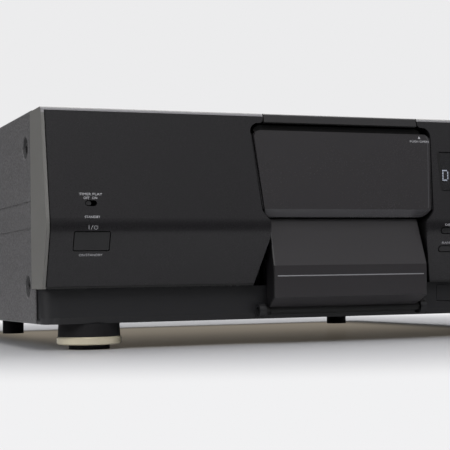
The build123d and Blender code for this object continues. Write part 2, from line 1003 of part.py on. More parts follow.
save(door_liner.part, "door_liner")

# ------------------------------------------------------------------ push latch behind the door's top corner
hip_to_top = (up(latch_low) - up(cutout_hip_height)) / (cutout_top_height - cutout_hip_height)
latch_right_x = cutout_hip_half + (cutout_top_half - cutout_hip_half) * hip_to_top - seam
latch_left_x = latch_right_x - latch_case_width
latch_x = (latch_left_x + latch_right_x) / 2
latch_z = up(latch_low) + latch_case_height / 2
latch_front_y = front_y + latch_setback
plunger_tip_y = door_back_y + moving_gap
plunger_end_y = plunger_tip_y + latch_plunger_length

with BuildPart() as latch_case:
    extrude(
        rectangle_at(
            tunnel_back_y, latch_left_x, latch_right_x, up(latch_low), up(latch_low) + latch_case_height
        ),
        amount=tunnel_back_y - latch_front_y,
    )
    cut(
        box_outline(
            plunger_end_y + latch_travel + seam,
            latch_x,
            latch_z,
            latch_plunger_width + 2 * moving_gap,
            latch_plunger_height + 2 * moving_gap,
        ),
        reach,
    )
save(latch_case.part, "latch_case")

with BuildPart() as latch_plunger:
    extrude(
        box_outline(plunger_end_y, latch_x, latch_z, latch_plunger_width, latch_plunger_height),
        amount=latch_plunger_length,
    )
    fillet(latch_plunger.faces().sort_by(Axis.Y)[0].edges(), plunger_round)
save(latch_plunger.part, "latch_plunger")

# ------------------------------------------------------------------ strip under the front, with its flap
flap_axis_y = strip_y + flap_thickness / 2
flap_axis_z = up(flap_low) + flap_thickness / 2
flap_right = flap_left + flap_width
flap_x = (flap_left + flap_right) / 2
flap_top_z = up(flap_low + flap_height)
ear_inner_x = chin_crease_half + hinge_side_gap


def flap_circle(x, radius):
    """A round outline about the flap's hinge axis."""
    return disc_on(Plane(origin=(x, flap_axis_y, flap_axis_z), x_dir=(0, 1, 0), z_dir=(1, 0, 0)), radius)


with BuildPart() as base_strip:
    with BuildSketch(Plane.XY.offset(base_z)) as strip_plan:
        with Locations((0, (strip_y + bezel_back_y) / 2)):
            Rectangle(2 * strip_half, bezel_back_y - strip_y)
        fillet(strip_plan.vertices().group_by(Axis.Y)[0], strip_corner)
    extrude(amount=bezel_bottom - seam)
    strip_underside = base_strip.faces().sort_by(Axis.Z)[0]
    outer_edges = strip_underside.edges().filter_by(lambda e: e.center().Y < bezel_back_y - seam)
    chamfer(outer_edges, strip_chamfer_depth, strip_chamfer_height, reference=strip_underside)
    with BuildSketch(Plane.XY.offset(base_z)) as strip_inside:
        with Locations((0, (strip_y + strip_wall + bezel_back_y + strip_wall) / 2)):
            Rectangle(2 * (strip_half - strip_wall), bezel_back_y - strip_y)
        fillet(strip_inside.vertices().group_by(Axis.Y)[0], strip_corner - strip_wall)
    extrude(amount=bezel_bottom, mode=Mode.SUBTRACT)
    # opening and hinge bores of the port flap
    cut(
        rectangle_at(
            strip_y + strip_wall * 2,
            flap_left - moving_gap,
            flap_right + moving_gap,
            up(flap_low) - moving_gap,
            flap_top_z + moving_gap,
        ),
        reach,
    )
    flap_bore_reach = flap_pin_reach + moving_gap
    cut(
        flap_circle(flap_left - flap_bore_reach, flap_pin_radius + running_gap),
        flap_width + 2 * flap_bore_reach,
    )
    # ears for the door's hinge pins
    for side in (-1, 1):
        ear_x = ear_inner_x if side > 0 else -ear_inner_x - hinge_ear_thickness
        extrude(hinge_circle(ear_x, hinge_ear_radius), amount=hinge_ear_thickness)
        extrude(
            side_polygon(
                [
                    (hinge_y, hinge_z - hinge_ear_radius),
                    (strip_y + strip_wall, hinge_z - hinge_ear_radius),
                    (strip_y + strip_wall, hinge_z + hinge_ear_radius),
                    (hinge_y, hinge_z + hinge_ear_radius),
                ],
                ear_x,
            ),
            amount=hinge_ear_thickness,
        )
    bore_half = ear_inner_x + hinge_ear_thickness
    cut(hinge_circle(-bore_half, hinge_pin_radius + running_gap), 2 * bore_half)
save(base_strip.part, "base_strip")

with BuildPart() as port_flap:
    extrude(
        rectangle_at(strip_y + flap_thickness, flap_left, flap_right, flap_axis_z, flap_top_z),
        amount=flap_thickness,
    )
    extrude(flap_circle(flap_left, flap_thickness / 2), amount=flap_width)
    extrude(flap_circle(flap_left - flap_pin_reach, flap_pin_radius), amount=flap_width + 2 * flap_pin_reach)
save(port_flap.part, "port_flap")

socket_y = flange_front_y - moving_gap
socket_z = up(flap_low + flap_height / 2)
with BuildPart() as keyboard_socket:
    extrude(
        box_outline(socket_y + socket_body_depth, flap_x, socket_z, socket_body_width, socket_body_height),
        amount=socket_body_depth,
    )
    cut(disc_on(front_spot(flap_x, socket_y + socket_depth, socket_z), socket_radius), reach)
save(keyboard_socket.part, "keyboard_socket")

# ------------------------------------------------------------------ sheet-metal case
side_screws = [
    (y, up(height))
    for forward, height in (
        (side_screw_upper_setback, side_screw_upper),
        (side_screw_lower_setback, side_screw_lower),
    )
    for y in (front_y + forward, panel_y - side_screw_rear_inset)
]
bracket_middles = (front_y + side_screw_upper_setback, panel_y - side_screw_rear_inset)
bracket_top_z = up(side_screw_upper) + bracket_margin
drive_x = pinion_distance * cos(radians(drive_direction))
drive_y = carousel_y + pinion_distance * sin(radians(drive_direction))
motor_x = -(flange_x - sheet - motor_side_gap - motor_bracket - motor_radius)
motor_y = drive_y - motor_forward
pulley_top_z = pulley_low_z + pulley_width
motor_low_z = pulley_top_z + motor_lift
board_x_high = flange_x - sheet - main_board_inset
board_y_high = panel_y - main_board_inset
main_board_x = board_x_high - main_board_width / 2
main_board_y = board_y_high - main_board_length / 2
standoff_x = main_board_width / 2 - standoff_inset
standoff_y = main_board_length / 2 - standoff_inset


def plan_box(x_low, x_high, y_low, y_high, z):
    """Plan view of a rectangle at a height."""
    with BuildSketch(Plane.XY.offset(z)) as outline:
        with Locations(((x_low + x_high) / 2, (y_low + y_high) / 2)):
            Rectangle(x_high - x_low, y_high - y_low)
    return outline.sketch


def upright_spot(x, y, z):
    """Level plane with its origin at a point."""
    return Plane(origin=(x, y, z), x_dir=(1, 0, 0), z_dir=(0, 0, 1))


def lathe(plane, points, mode=Mode.ADD):
    """Turn an outline of (radius, length) points round the plane's own Y axis."""
    with BuildSketch(plane) as profile:
        with BuildLine():
            Polyline(*points, close=True)
        make_face()
    revolve(profile.sketch, axis=Axis(plane.origin, plane.y_dir), mode=mode)


def standing_plane(x, y, z):
    """Plane whose own Y axis stands upright at a point."""
    return Plane(origin=(x, y, z), x_dir=(1, 0, 0), z_dir=(0, -1, 0))


def side_plane(side, y, z):
    """Plane on the left (-1) or right (1) side whose own Y axis points outwards."""
    return Plane(origin=(side * width / 2, y, z), x_dir=(0, 1, 0), z_dir=(0, 0, -side))


with BuildPart() as chassis_pan:
    extrude(plan_box(-flange_x, flange_x, cover_front_y, panel_y - seam, base_z), amount=sheet)
    # the front part is narrow enough to stay inside the strip's round corners
    nose_x = strip_half - strip_corner
    extrude(plan_box(-nose_x, nose_x, flange_front_y, cover_front_y, base_z), amount=sheet)
    extrude(
        plan_box(-nose_x, nose_x, flange_front_y, flange_front_y + sheet, base_z), amount=front_flange_height
    )
    for side in (-1, 1):
        outer = side * flange_x
        inner = side * (flange_x - sheet)
        x_low, x_high = min(outer, inner), max(outer, inner)
        extrude(plan_box(x_low, x_high, cover_front_y, panel_y - seam, base_z), amount=flange_height)
        for middle in bracket_middles:
            extrude(
                plan_box(x_low, x_high, middle - bracket_width / 2, middle + bracket_width / 2, base_z),
                amount=bracket_top_z - base_z,
            )
    for y, z in side_screws:
        screw_axis = Plane(origin=(-flange_x, y, z), x_dir=(0, 1, 0), z_dir=(1, 0, 0))
        cut(disc_on(screw_axis, screw_shank_radius + running_gap), 2 * flange_x)
    cut(
        box_outline(
            flange_front_y + 2 * sheet,
            flap_x,
            socket_z,
            socket_body_width + 2 * moving_gap,
            socket_body_height + 2 * moving_gap,
        ),
        4 * sheet,
    )
    # pin of the drive pulley, bracket of the motor, posts of the main board
    extrude(disc_on(upright_spot(drive_x, drive_y, base_z), axle_radius), amount=pinion_top_z - base_z)
    extrude(
        disc_on(upright_spot(drive_x, drive_y, base_z), axle_radius * 2), amount=pulley_low_z - seam - base_z
    )
    extrude(
        plan_box(
            motor_x - motor_radius - motor_bracket,
            motor_x - motor_radius,
            motor_y - motor_radius / 2,
            motor_y + motor_radius / 2,
            base_z,
        ),
        amount=motor_low_z + motor_length - base_z,
    )
    with BuildSketch(Plane.XY.offset(base_z)):
        with Locations((main_board_x, main_board_y)):
            with GridLocations(2 * standoff_x, 2 * standoff_y, 2, 2):
                Circle(standoff_radius)
    extrude(amount=main_board_height)
save(chassis_pan.part, "chassis_pan")

cover_half = width / 2
with BuildPart() as top_cover:
    cover_length = rear_face_y - cover_front_y
    skirt_z = up(cover_skirt)
    extrude(rectangle_at(rear_face_y, -cover_half, cover_half, skirt_z, cover_top_z), amount=cover_length)
    fillet(top_cover.edges().filter_by(Axis.Y).group_by(Axis.Z)[-1], cover_bend)
    with BuildSketch(front_plane(rear_face_y)) as cover_inside:
        with Locations((0, (skirt_z + cover_top_z) / 2 - cover_sheet)):
            Rectangle(2 * (cover_half - cover_sheet), cover_top_z - skirt_z)
        fillet(cover_inside.vertices().group_by(Axis.Y)[-1], cover_bend - cover_sheet / 2)
    extrude(amount=cover_length, mode=Mode.SUBTRACT)
    for side in (-1, 1):
        lip_x = sorted((side * cover_half, side * (cover_half - cover_sheet)))
        extrude(
            plan_box(*lip_x, cover_front_y - cover_lip, cover_front_y, skirt_z),
            amount=bezel_low_z - seam - skirt_z,
        )
        outer = side * cover_half
        inner = side * (cover_half - press_line_depth)
        for height in press_line_heights:
            cut(
                rectangle_at(
                    rear_face_y,
                    min(outer, inner),
                    max(outer, inner),
                    up(height) - press_line_width / 2,
                    up(height) + press_line_width / 2,
                ),
                cover_length,
            )
        # pressed dimples that sink the screw heads
        for y, z in side_screws:
            plane = side_plane(side, y, z)
            lathe(
                plane,
                [
                    (0, 0),
                    (dimple_radius, 0),
                    (dimple_radius, -cover_sheet),
                    (dimple_floor_radius + cover_sheet / 2, -dimple_depth - cover_sheet),
                    (0, -dimple_depth - cover_sheet),
                ],
            )
            lathe(
                plane,
                [(0, 0), (dimple_radius, 0), (dimple_floor_radius, -dimple_depth), (0, -dimple_depth)],
                mode=Mode.SUBTRACT,
            )
            hole = [(0, 0), (screw_shank_radius + running_gap, 0)]
            hole += [(screw_shank_radius + running_gap, -2 * dimple_depth), (0, -2 * dimple_depth)]
            lathe(plane, hole, mode=Mode.SUBTRACT)
save(top_cover.part, "top_cover")

rear_half = width / 2 - cover_sheet - seam
rear_top_z = cover_top_z - cover_sheet - seam
jack_z = up(jack_height)
inlet_x = inlet_inset - width / 2
rca_x = inlet_x + rca_offset
control_jack_x = rca_x + control_jack_offset
inlet_z = up(inlet_height)
rca_spots = [(rca_x + sign * rca_pitch / 2, jack_z) for sign in (-1, 1)]
control_spots = [(control_jack_x + sign * control_jack_pitch / 2, jack_z) for sign in (-1, 1)]
rear_screw_x = rear_half - rear_screw_inset
rear_screws = [
    (x, z)
    for x in (-rear_screw_x, 0, rear_screw_x)
    for z in (base_z + rear_screw_inset, rear_top_z - rear_screw_inset)
]


def rear_spot(x, y, z):
    """Plane that faces backwards at a point."""
    return Plane(origin=(x, y, z), x_dir=(-1, 0, 0), z_dir=(0, 1, 0))


with BuildPart() as rear_panel:
    extrude(rectangle_at(rear_face_y, -rear_half, rear_half, base_z, rear_top_z, cover_bend), amount=sheet)
    for x, z in rear_screws:
        cut(disc_on(front_spot(x, rear_face_y, z), screw_shank_radius + running_gap), sheet)
    for x, z in rca_spots:
        cut(disc_on(front_spot(x, rear_face_y, z), rca_radius + seam), sheet)
    for x, z in control_spots:
        cut(disc_on(front_spot(x, rear_face_y, z), control_jack_collar + seam), sheet)
    cut(box_outline(rear_face_y, inlet_x, inlet_z, inlet_width + seam, inlet_tall + seam), sheet)
save(rear_panel.part, "rear_panel")

with BuildPart() as case_screws:
    head = [
        (0, screw_head_height),
        (screw_head_radius * 0.6, screw_head_height),
        (screw_head_radius, screw_head_height / 2),
        (screw_head_radius, 0),
        (screw_shank_radius, 0),
        (screw_shank_radius, -screw_length),
        (0, -screw_length),
    ]
    for side in (-1, 1):
        for y, z in side_screws:
            sunk = side_plane(side, y, z)
            floor_point = sunk.origin - sunk.y_dir * dimple_depth
            lathe(Plane(origin=floor_point, x_dir=sunk.x_dir, z_dir=sunk.z_dir), head)
    for x, z in rear_screws:
        lathe(upright_spot(x, rear_face_y, z), head)
save(case_screws.part, "case_screws")

# ------------------------------------------------------------------ feet
front_foot_x = width / 2 - front_foot_inset
front_foot_y = front_y + front_foot_setback
rear_foot_x = width / 2 - rear_foot_inset
rear_foot_y = depth / 2 - rear_foot_forward
pad_top_z = base_z - front_foot_drop - foot_ring_height
front_foot_spots = [(side * front_foot_x, front_foot_y) for side in (-1, 1)]

with BuildPart() as front_feet:
    for x, y in front_foot_spots:
        lathe(
            standing_plane(x, y, base_z),
            [
                (0, 0),
                (front_foot_top_radius, 0),
                (front_foot_radius, -front_foot_drop),
                (0, -front_foot_drop),
            ],
        )
save(front_feet.part, "front_feet")

with BuildPart() as foot_rings:
    for x, y in front_foot_spots:
        lathe(
            standing_plane(x, y, pad_top_z),
            [
                (0, 0),
                (foot_ring_radius - foot_ring_round, 0),
                (foot_ring_radius, foot_ring_round),
                (foot_ring_radius, foot_ring_height - foot_ring_round),
                (foot_ring_radius - foot_ring_round, foot_ring_height),
                (0, foot_ring_height),
            ],
        )
save(foot_rings.part, "foot_rings")

with BuildPart() as foot_pads:
    for x, y in front_foot_spots:
        extrude(disc_on(upright_spot(x, y, 0), foot_pad_radius), amount=pad_top_z)
save(foot_pads.part, "foot_pads")

with BuildPart() as rear_feet:
    for side in (-1, 1):
        lathe(
            standing_plane(side * rear_foot_x, rear_foot_y, 0),
            [(0, 0), (rear_foot_radius, 0), (rear_foot_radius, foot_height), (0, foot_height)],
        )
save(rear_feet.part, "rear_feet")

# ------------------------------------------------------------------ carousel
ring_inner_radius = core_radius + core_gap
divider_outer = ring_outer_radius - divider_inset
divider_inner = divider_outer - divider_length
floor_slot_outer = divider_inner - divider_slot_gap
floor_slot_inner = floor_slot_outer - floor_slot_length
ring_centre = upright_spot(0, carousel_y, ring_floor_z)
carousel_plane = upright_spot(0, carousel_y, ring_top_z)

with BuildPart() as carousel_floor:
    with BuildSketch(ring_centre):
        Circle(ring_outer_radius)
        Circle(ring_inner_radius, mode=Mode.SUBTRACT)
        with PolarLocations((floor_slot_inner + floor_slot_outer) / 2, slot_count):
            Rectangle(floor_slot_outer - floor_slot_inner, floor_slot_width, mode=Mode.SUBTRACT)
    extrude(amount=ring_floor_thickness)
save(carousel_floor.part, "carousel_floor")

half_pitch = 180 / slot_count
with BuildPart() as slot_dividers:
    with BuildSketch(carousel_plane):
        with PolarLocations((divider_inner + divider_outer) / 2, slot_count, start_angle=half_pitch):
            Rectangle(divider_outer - divider_inner, divider_thickness)
    extrude(amount=divider_height)
save(slot_dividers.part, "slot_dividers")

ring_gear_low = upright_spot(0, carousel_y, ring_floor_z - ring_gear_thickness)
ring_root_radius = ring_gear_radius - tooth_dedendum * gear_module
with BuildPart() as ring_gear:
    extrude(gear_outline(ring_teeth, gear_module, ring_gear_low, 0), amount=ring_gear_thickness)
    cut(disc_on(ring_gear_low, ring_root_radius - ring_gear_rim), ring_gear_thickness)
save(ring_gear.part, "ring_gear")

# the pinion shows a gap to the tooth that the ring points at it
pinion_phase = drive_direction + 180 + 180 / pinion_teeth
with BuildPart() as drive_pulley:
    pulley_spot = upright_spot(drive_x, drive_y, pulley_low_z)
    extrude(disc_on(pulley_spot, drive_pulley_radius), amount=pulley_width)
    extrude(
        gear_outline(pinion_teeth, gear_module, upright_spot(drive_x, drive_y, pulley_top_z), pinion_phase),
        amount=pinion_top_z - pulley_top_z,
    )
    cut(disc_on(pulley_spot, axle_radius + running_gap), reach)
save(drive_pulley.part, "drive_pulley")

with BuildPart() as motor_pulley:
    shaft_spot = upright_spot(motor_x, motor_y, pulley_low_z)
    extrude(disc_on(shaft_spot, motor_pulley_radius), amount=pulley_width)
    extrude(disc_on(shaft_spot, axle_radius), amount=pulley_width + motor_lift + shaft_sink)
save(motor_pulley.part, "motor_pulley")

with BuildPart() as carousel_motor:
    motor_spot = upright_spot(motor_x, motor_y, motor_low_z)
    extrude(disc_on(motor_spot, motor_radius), amount=motor_length)
    cut(disc_on(motor_spot, axle_radius + running_gap), shaft_sink + seam)
save(carousel_motor.part, "carousel_motor")


def belt_outline(growth):
    """Plan view of the space inside the belt, grown outwards."""
    level = pulley_low_z + (pulley_width - belt_width) / 2
    with BuildSketch(Plane.XY.offset(level)) as outline:
        with Locations((drive_x, drive_y)):
            Circle(drive_pulley_radius + belt_gap + growth)
        with Locations((motor_x, motor_y)):
            Circle(motor_pulley_radius + belt_gap + growth)
        make_hull()
    return outline.sketch


with BuildPart() as drive_belt:
    extrude(belt_outline(belt_thickness), amount=belt_width)
    cut(belt_outline(0), belt_width)
save(drive_belt.part, "drive_belt")

roller_z = ring_floor_z - moving_gap - roller_radius
roller_track = ring_gear_radius - roller_inset
cheek_offset = roller_width / 2 + moving_gap
roller_angles = [roller_first + 360 * step / roller_count for step in range(roller_count)]


def radial_plane(angle, radius):
    """Plane across a radius of the carousel, its own X axis along the rim."""
    turn = radians(angle)
    origin = (radius * cos(turn), carousel_y + radius * sin(turn), roller_z)
    return Plane(origin=origin, x_dir=(-sin(turn), cos(turn), 0), z_dir=(cos(turn), sin(turn), 0))


for number, angle in enumerate(roller_angles, start=1):
    with BuildPart() as roller:
        middle = radial_plane(angle, roller_track)
        extrude(disc_on(middle, roller_radius), amount=roller_width / 2, both=True)
        extrude(disc_on(middle, axle_radius), amount=cheek_offset + roller_cheek, both=True)
    save(roller.part, f"ring_roller_{number}")

with BuildPart() as roller_brackets:
    cheek_low = pan_top_z - roller_z
    cheek_high = axle_radius + roller_cheek
    for angle in roller_angles:
        for side in (-1, 1):
            start = roller_track + (cheek_offset if side > 0 else -cheek_offset - roller_cheek)
            with BuildSketch(radial_plane(angle, start)):
                with Locations((0, (cheek_low + cheek_high) / 2)):
                    Rectangle(2 * roller_radius, cheek_high - cheek_low)
                Circle(axle_radius + running_gap, mode=Mode.SUBTRACT)
            extrude(amount=roller_cheek)
save(roller_brackets.part, "roller_brackets")

# ------------------------------------------------------------------ player in the middle of the ring
player_floor_z = pan_top_z + base_plate_thickness
spindle_z = up(spindle_height)
clamp_y = carousel_y + clamp_pivot_back
loader_y = carousel_y + loader_pivot_back
loader_z = up(loader_pivot_height)
cam_y = carousel_y - cam_gear_forward
cam_z = up(cam_gear_height)
cam_reach = cam_module * (cam_teeth + cam_pinion_teeth) / 2
load_motor_x = cam_gear_x + cam_reach * cos(radians(load_motor_turn))
load_motor_y = cam_y + cam_reach * sin(radians(load_motor_turn))
load_motor_z = cam_z + cam_gear_thickness + seam
clamp_low_z = spindle_z - clamp_arm_width / 2
clamp_high_z = spindle_z + clamp_arm_width / 2
loader_pin_end = loader_plane_x + loader_thickness + seam
plate_front_x = player_plate_x + player_plate
sled_back_x = plate_front_x + sled_standoff
sled_low_z = spindle_z - sled_start - lens_radius
rod_x = sled_back_x + sled_depth / 2


def across_spot(x, y, z):
    """Plane at a point that faces +X, its own X axis pointing back."""
    return Plane(origin=(x, y, z), x_dir=(0, 1, 0), z_dir=(1, 0, 0))


with BuildPart() as player_base:
    base_spot = upright_spot(0, carousel_y, pan_top_z)
    extrude(disc_on(base_spot, core_radius), amount=up(collar_height) - pan_top_z)
    cut(disc_on(upright_spot(0, carousel_y, player_floor_z), core_radius - collar_wall), collar_height)
    # post and pin of the clamp arm
    post_spot = upright_spot(clamp_plane_x, clamp_y, player_floor_z)
    extrude(disc_on(post_spot, axle_radius * 2), amount=clamp_low_z - seam - player_floor_z)
    extrude(disc_on(post_spot, axle_radius), amount=clamp_high_z - player_floor_z)
    # post and pin of the loader arm
    extrude(
        plan_box(
            loader_plane_x - seam - loader_thickness,
            loader_plane_x - seam,
            loader_y - loader_width / 2,
            loader_y + loader_width / 2,
            player_floor_z,
        ),
        amount=loader_z + loader_width / 2 - player_floor_z,
    )
    extrude(
        disc_on(across_spot(loader_plane_x - loader_thickness, loader_y, loader_z), axle_radius),
        amount=loader_pin_end - loader_plane_x + loader_thickness,
    )
    # post and pin of the cam gear
    cam_spot = upright_spot(cam_gear_x, cam_y, player_floor_z)
    extrude(disc_on(cam_spot, axle_radius * 2), amount=cam_z - seam - player_floor_z)
    extrude(disc_on(cam_spot, axle_radius), amount=cam_z + cam_gear_thickness - player_floor_z)
    # bracket of the loading motor
    extrude(
        plan_box(
            load_motor_x + load_motor_radius,
            load_motor_x + load_motor_radius + loader_thickness,
            load_motor_y - load_motor_radius / 2,
            load_motor_y + load_motor_radius / 2,
            player_floor_z,
        ),
        amount=load_motor_z + load_motor_length - player_floor_z,
    )
save(player_base.part, "player_base")

with BuildPart() as player_frame:
    frame_middle_z = (player_floor_z + up(player_height)) / 2
    with BuildSketch(across_spot(player_plate_x, carousel_y, frame_middle_z)) as frame_face:
        Rectangle(2 * player_half_width, up(player_height) - player_floor_z)
        fillet(frame_face.vertices(), player_corner)
        with Locations((0, spindle_z - frame_middle_z)):
            Circle(turntable_radius - player_plate, mode=Mode.SUBTRACT)
    extrude(amount=player_plate)
    # lugs that hold the sled's rods
    rod_high_z = spindle_z - spindle_motor_radius
    rod_low_z = player_floor_z + rod_lug
    for y in (carousel_y - sled_rod_spacing / 2, carousel_y + sled_rod_spacing / 2):
        for z in (rod_low_z, rod_high_z):
            lug_low = plan_box(plate_front_x, rod_x + rod_lug / 2, y - rod_lug / 2, y + rod_lug / 2, z)
            extrude(lug_low, amount=rod_lug / 2, both=True)
        extrude(disc_on(upright_spot(rod_x, y, rod_low_z), sled_rod_radius), amount=rod_high_z - rod_low_z)
save(player_frame.part, "player_frame")

with BuildPart() as spindle_motor:
    extrude(
        disc_on(across_spot(player_plate_x, carousel_y, spindle_z), spindle_motor_radius),
        amount=-spindle_motor_length,
    )
    cut(
        disc_on(across_spot(player_plate_x, carousel_y, spindle_z), spindle_shaft_radius + running_gap),
        -shaft_sink,
    )
save(spindle_motor.part, "spindle_motor")

turntable_x = -disc_half_thickness - turntable_thickness
with BuildPart() as spindle_turntable:
    extrude(
        disc_on(across_spot(turntable_x, carousel_y, spindle_z), turntable_radius), amount=turntable_thickness
    )
    shaft_back_x = player_plate_x - shaft_sink + seam
    extrude(
        disc_on(across_spot(shaft_back_x, carousel_y, spindle_z), spindle_shaft_radius),
        amount=turntable_x - shaft_back_x,
    )
save(spindle_turntable.part, "spindle_turntable")

with BuildPart() as pickup_sled:
    extrude(
        plan_box(
            sled_back_x,
            sled_back_x + sled_depth,
            carousel_y - sled_half_width,
            carousel_y + sled_half_width,
            sled_low_z,
        ),
        amount=sled_length,
    )
    lens_spot = across_spot(sled_back_x + sled_depth, carousel_y, sled_low_z + sled_length / 2)
    extrude(disc_on(lens_spot, lens_radius), amount=lens_rise)
    for y in (carousel_y - sled_rod_spacing / 2, carousel_y + sled_rod_spacing / 2):
        cut(disc_on(upright_spot(rod_x, y, sled_low_z), sled_rod_radius + running_gap), sled_length)
save(pickup_sled.part, "pickup_sled")

with BuildPart() as clamp_arm:
    extrude(
        plan_box(
            clamp_plane_x - clamp_arm_thickness / 2,
            clamp_plane_x + clamp_arm_thickness / 2,
            carousel_y,
            clamp_y,
            clamp_low_z,
        ),
        amount=clamp_arm_width,
    )
    clamp_spot = upright_spot(clamp_plane_x, clamp_y, clamp_low_z)
    extrude(disc_on(clamp_spot, axle_radius * 3), amount=clamp_arm_width)
    puck_x = disc_half_thickness + seam
    extrude(
        disc_on(across_spot(puck_x, carousel_y, spindle_z), clamp_puck_radius),
        amount=clamp_plane_x - clamp_arm_thickness / 2 - puck_x,
    )
    cut(disc_on(clamp_spot, axle_radius + running_gap), clamp_arm_width)
save(clamp_arm.part, "clamp_arm")

with BuildPart() as loader_arm:
    with BuildSketch(across_spot(loader_plane_x, loader_y, loader_z)):
        with Locations((0, loader_length / 2)):
            SlotOverall(loader_length + loader_width, loader_width, rotation=90)
        Circle(axle_radius + running_gap, mode=Mode.SUBTRACT)
    extrude(amount=loader_thickness)
    extrude(
        disc_on(across_spot(loader_plane_x, loader_y, loader_z + loader_length), loader_thickness / 2),
        amount=pusher_reach - loader_plane_x,
    )
save(loader_arm.part, "loader_arm")

with BuildPart() as cam_gear:
    cam_low = upright_spot(cam_gear_x, cam_y, cam_z)
    extrude(gear_outline(cam_teeth, cam_module, cam_low, load_motor_turn), amount=cam_gear_thickness)
    cut(disc_on(cam_low, axle_radius + running_gap), cam_gear_thickness)
save(cam_gear.part, "cam_gear")

with BuildPart() as load_pinion:
    pinion_low = upright_spot(load_motor_x, load_motor_y, cam_z)
    load_phase = load_motor_turn + 180 + 180 / cam_pinion_teeth
    extrude(gear_outline(cam_pinion_teeth, cam_module, pinion_low, load_phase), amount=cam_gear_thickness)
    extrude(disc_on(pinion_low, axle_radius), amount=cam_gear_thickness + shaft_sink)
save(load_pinion.part, "load_pinion")

with BuildPart() as load_motor:
    load_spot = upright_spot(load_motor_x, load_motor_y, load_motor_z)
    extrude(disc_on(load_spot, load_motor_radius), amount=load_motor_length)
    cut(disc_on(load_spot, axle_radius + running_gap), shaft_sink)
save(load_motor.part, "load_motor")

# ------------------------------------------------------------------ electrics
core_x = -(flange_x - sheet - transformer_inset - transformer_width / 2)
core_y = panel_y - transformer_inset - transformer_length / 2
with BuildPart() as transformer:
    extrude(
        plan_box(
            core_x - transformer_width / 2,
            core_x + transformer_width / 2,
            core_y - transformer_length / 2,
            core_y + transformer_length / 2,
            pan_top_z,
        ),
        amount=transformer_height,
    )
    coil_half_width = transformer_width / 2 - coil_swell
    coil_half_length = transformer_length / 2 + coil_swell
    extrude(
        plan_box(
            core_x - coil_half_width,
            core_x + coil_half_width,
            core_y - coil_half_length,
            core_y + coil_half_length,
            pan_top_z + coil_swell,
        ),
        amount=transformer_height - 2 * coil_swell,
    )
save(transformer.part, "transformer")

board_seat_z = up(main_board_height)
with BuildPart() as main_board:
    extrude(
        plan_box(
            main_board_x - main_board_width / 2,
            main_board_x + main_board_width / 2,
            main_board_y - main_board_length / 2,
            main_board_y + main_board_length / 2,
            board_seat_z,
        ),
        amount=board_thickness,
    )
    with BuildSketch(Plane.XY.offset(board_seat_z + board_thickness)):
        with Locations((main_board_x, main_board_y)):
            with GridLocations(capacitor_pitch, 0, 3, 1):
                Circle(capacitor_radius)
    extrude(amount=capacitor_height)
    with BuildSketch(Plane.XY.offset(board_seat_z + board_thickness)):
        with Locations((main_board_x, main_board_y + main_board_length / 3)):
            Rectangle(main_board_width - 2 * standoff_inset, heat_sink_depth)
    extrude(amount=heat_sink_height)
save(main_board.part, "main_board")

with BuildPart() as rca_jacks:
    extrude(box_outline(panel_y, rca_x, jack_z, 2 * rca_pitch, jack_body_height), amount=jack_body_depth)
    for x, z in rca_spots:
        shell_y = rear_face_y + rear_reach - rca_shell_length
        extrude(disc_on(rear_spot(x, panel_y, z), rca_neck_radius), amount=shell_y - panel_y)
        extrude(disc_on(rear_spot(x, shell_y, z), rca_radius), amount=rca_shell_length)
        cut(disc_on(rear_spot(x, rear_face_y, z), rca_bore_radius), rear_reach)
save(rca_jacks.part, "rca_jacks")

with BuildPart() as control_jacks:
    extrude(
        box_outline(panel_y, control_jack_x, jack_z, 2 * control_jack_pitch, jack_body_height),
        amount=jack_body_depth,
    )
    for x, z in control_spots:
        extrude(disc_on(rear_spot(x, panel_y, z), control_jack_collar), amount=sheet + control_jack_rise)
        cut(
            disc_on(rear_spot(x, rear_face_y - control_jack_depth, z), control_jack_radius),
            control_jack_depth + rear_reach,
        )
save(control_jacks.part, "control_jacks")

with BuildPart() as ac_inlet:
    extrude(box_outline(rear_face_y, inlet_x, inlet_z, inlet_width, inlet_tall), amount=inlet_depth)
    extrude(
        box_outline(
            rear_face_y + inlet_flange,
            inlet_x,
            inlet_z,
            inlet_width + 2 * inlet_lip,
            inlet_tall + 2 * inlet_lip,
        ),
        amount=inlet_flange,
    )
    cut(
        slot_at(rear_face_y + 2 * inlet_flange, inlet_x, inlet_z, inlet_slot_width, inlet_slot_height),
        inlet_depth,
    )
    for sign in (-1, 1):
        pin_spot = rear_spot(inlet_x + sign * inlet_pin_pitch / 2, rear_face_y - inlet_depth, inlet_z)
        extrude(disc_on(pin_spot, inlet_pin_radius), amount=inlet_depth)
save(ac_inlet.part, "ac_inlet")
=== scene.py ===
import logging
from dataclasses import dataclass, field
from enum import Enum
from math import cos, pi, radians, sin, sqrt

import bmesh
import bpy
from mathutils import Matrix, Vector


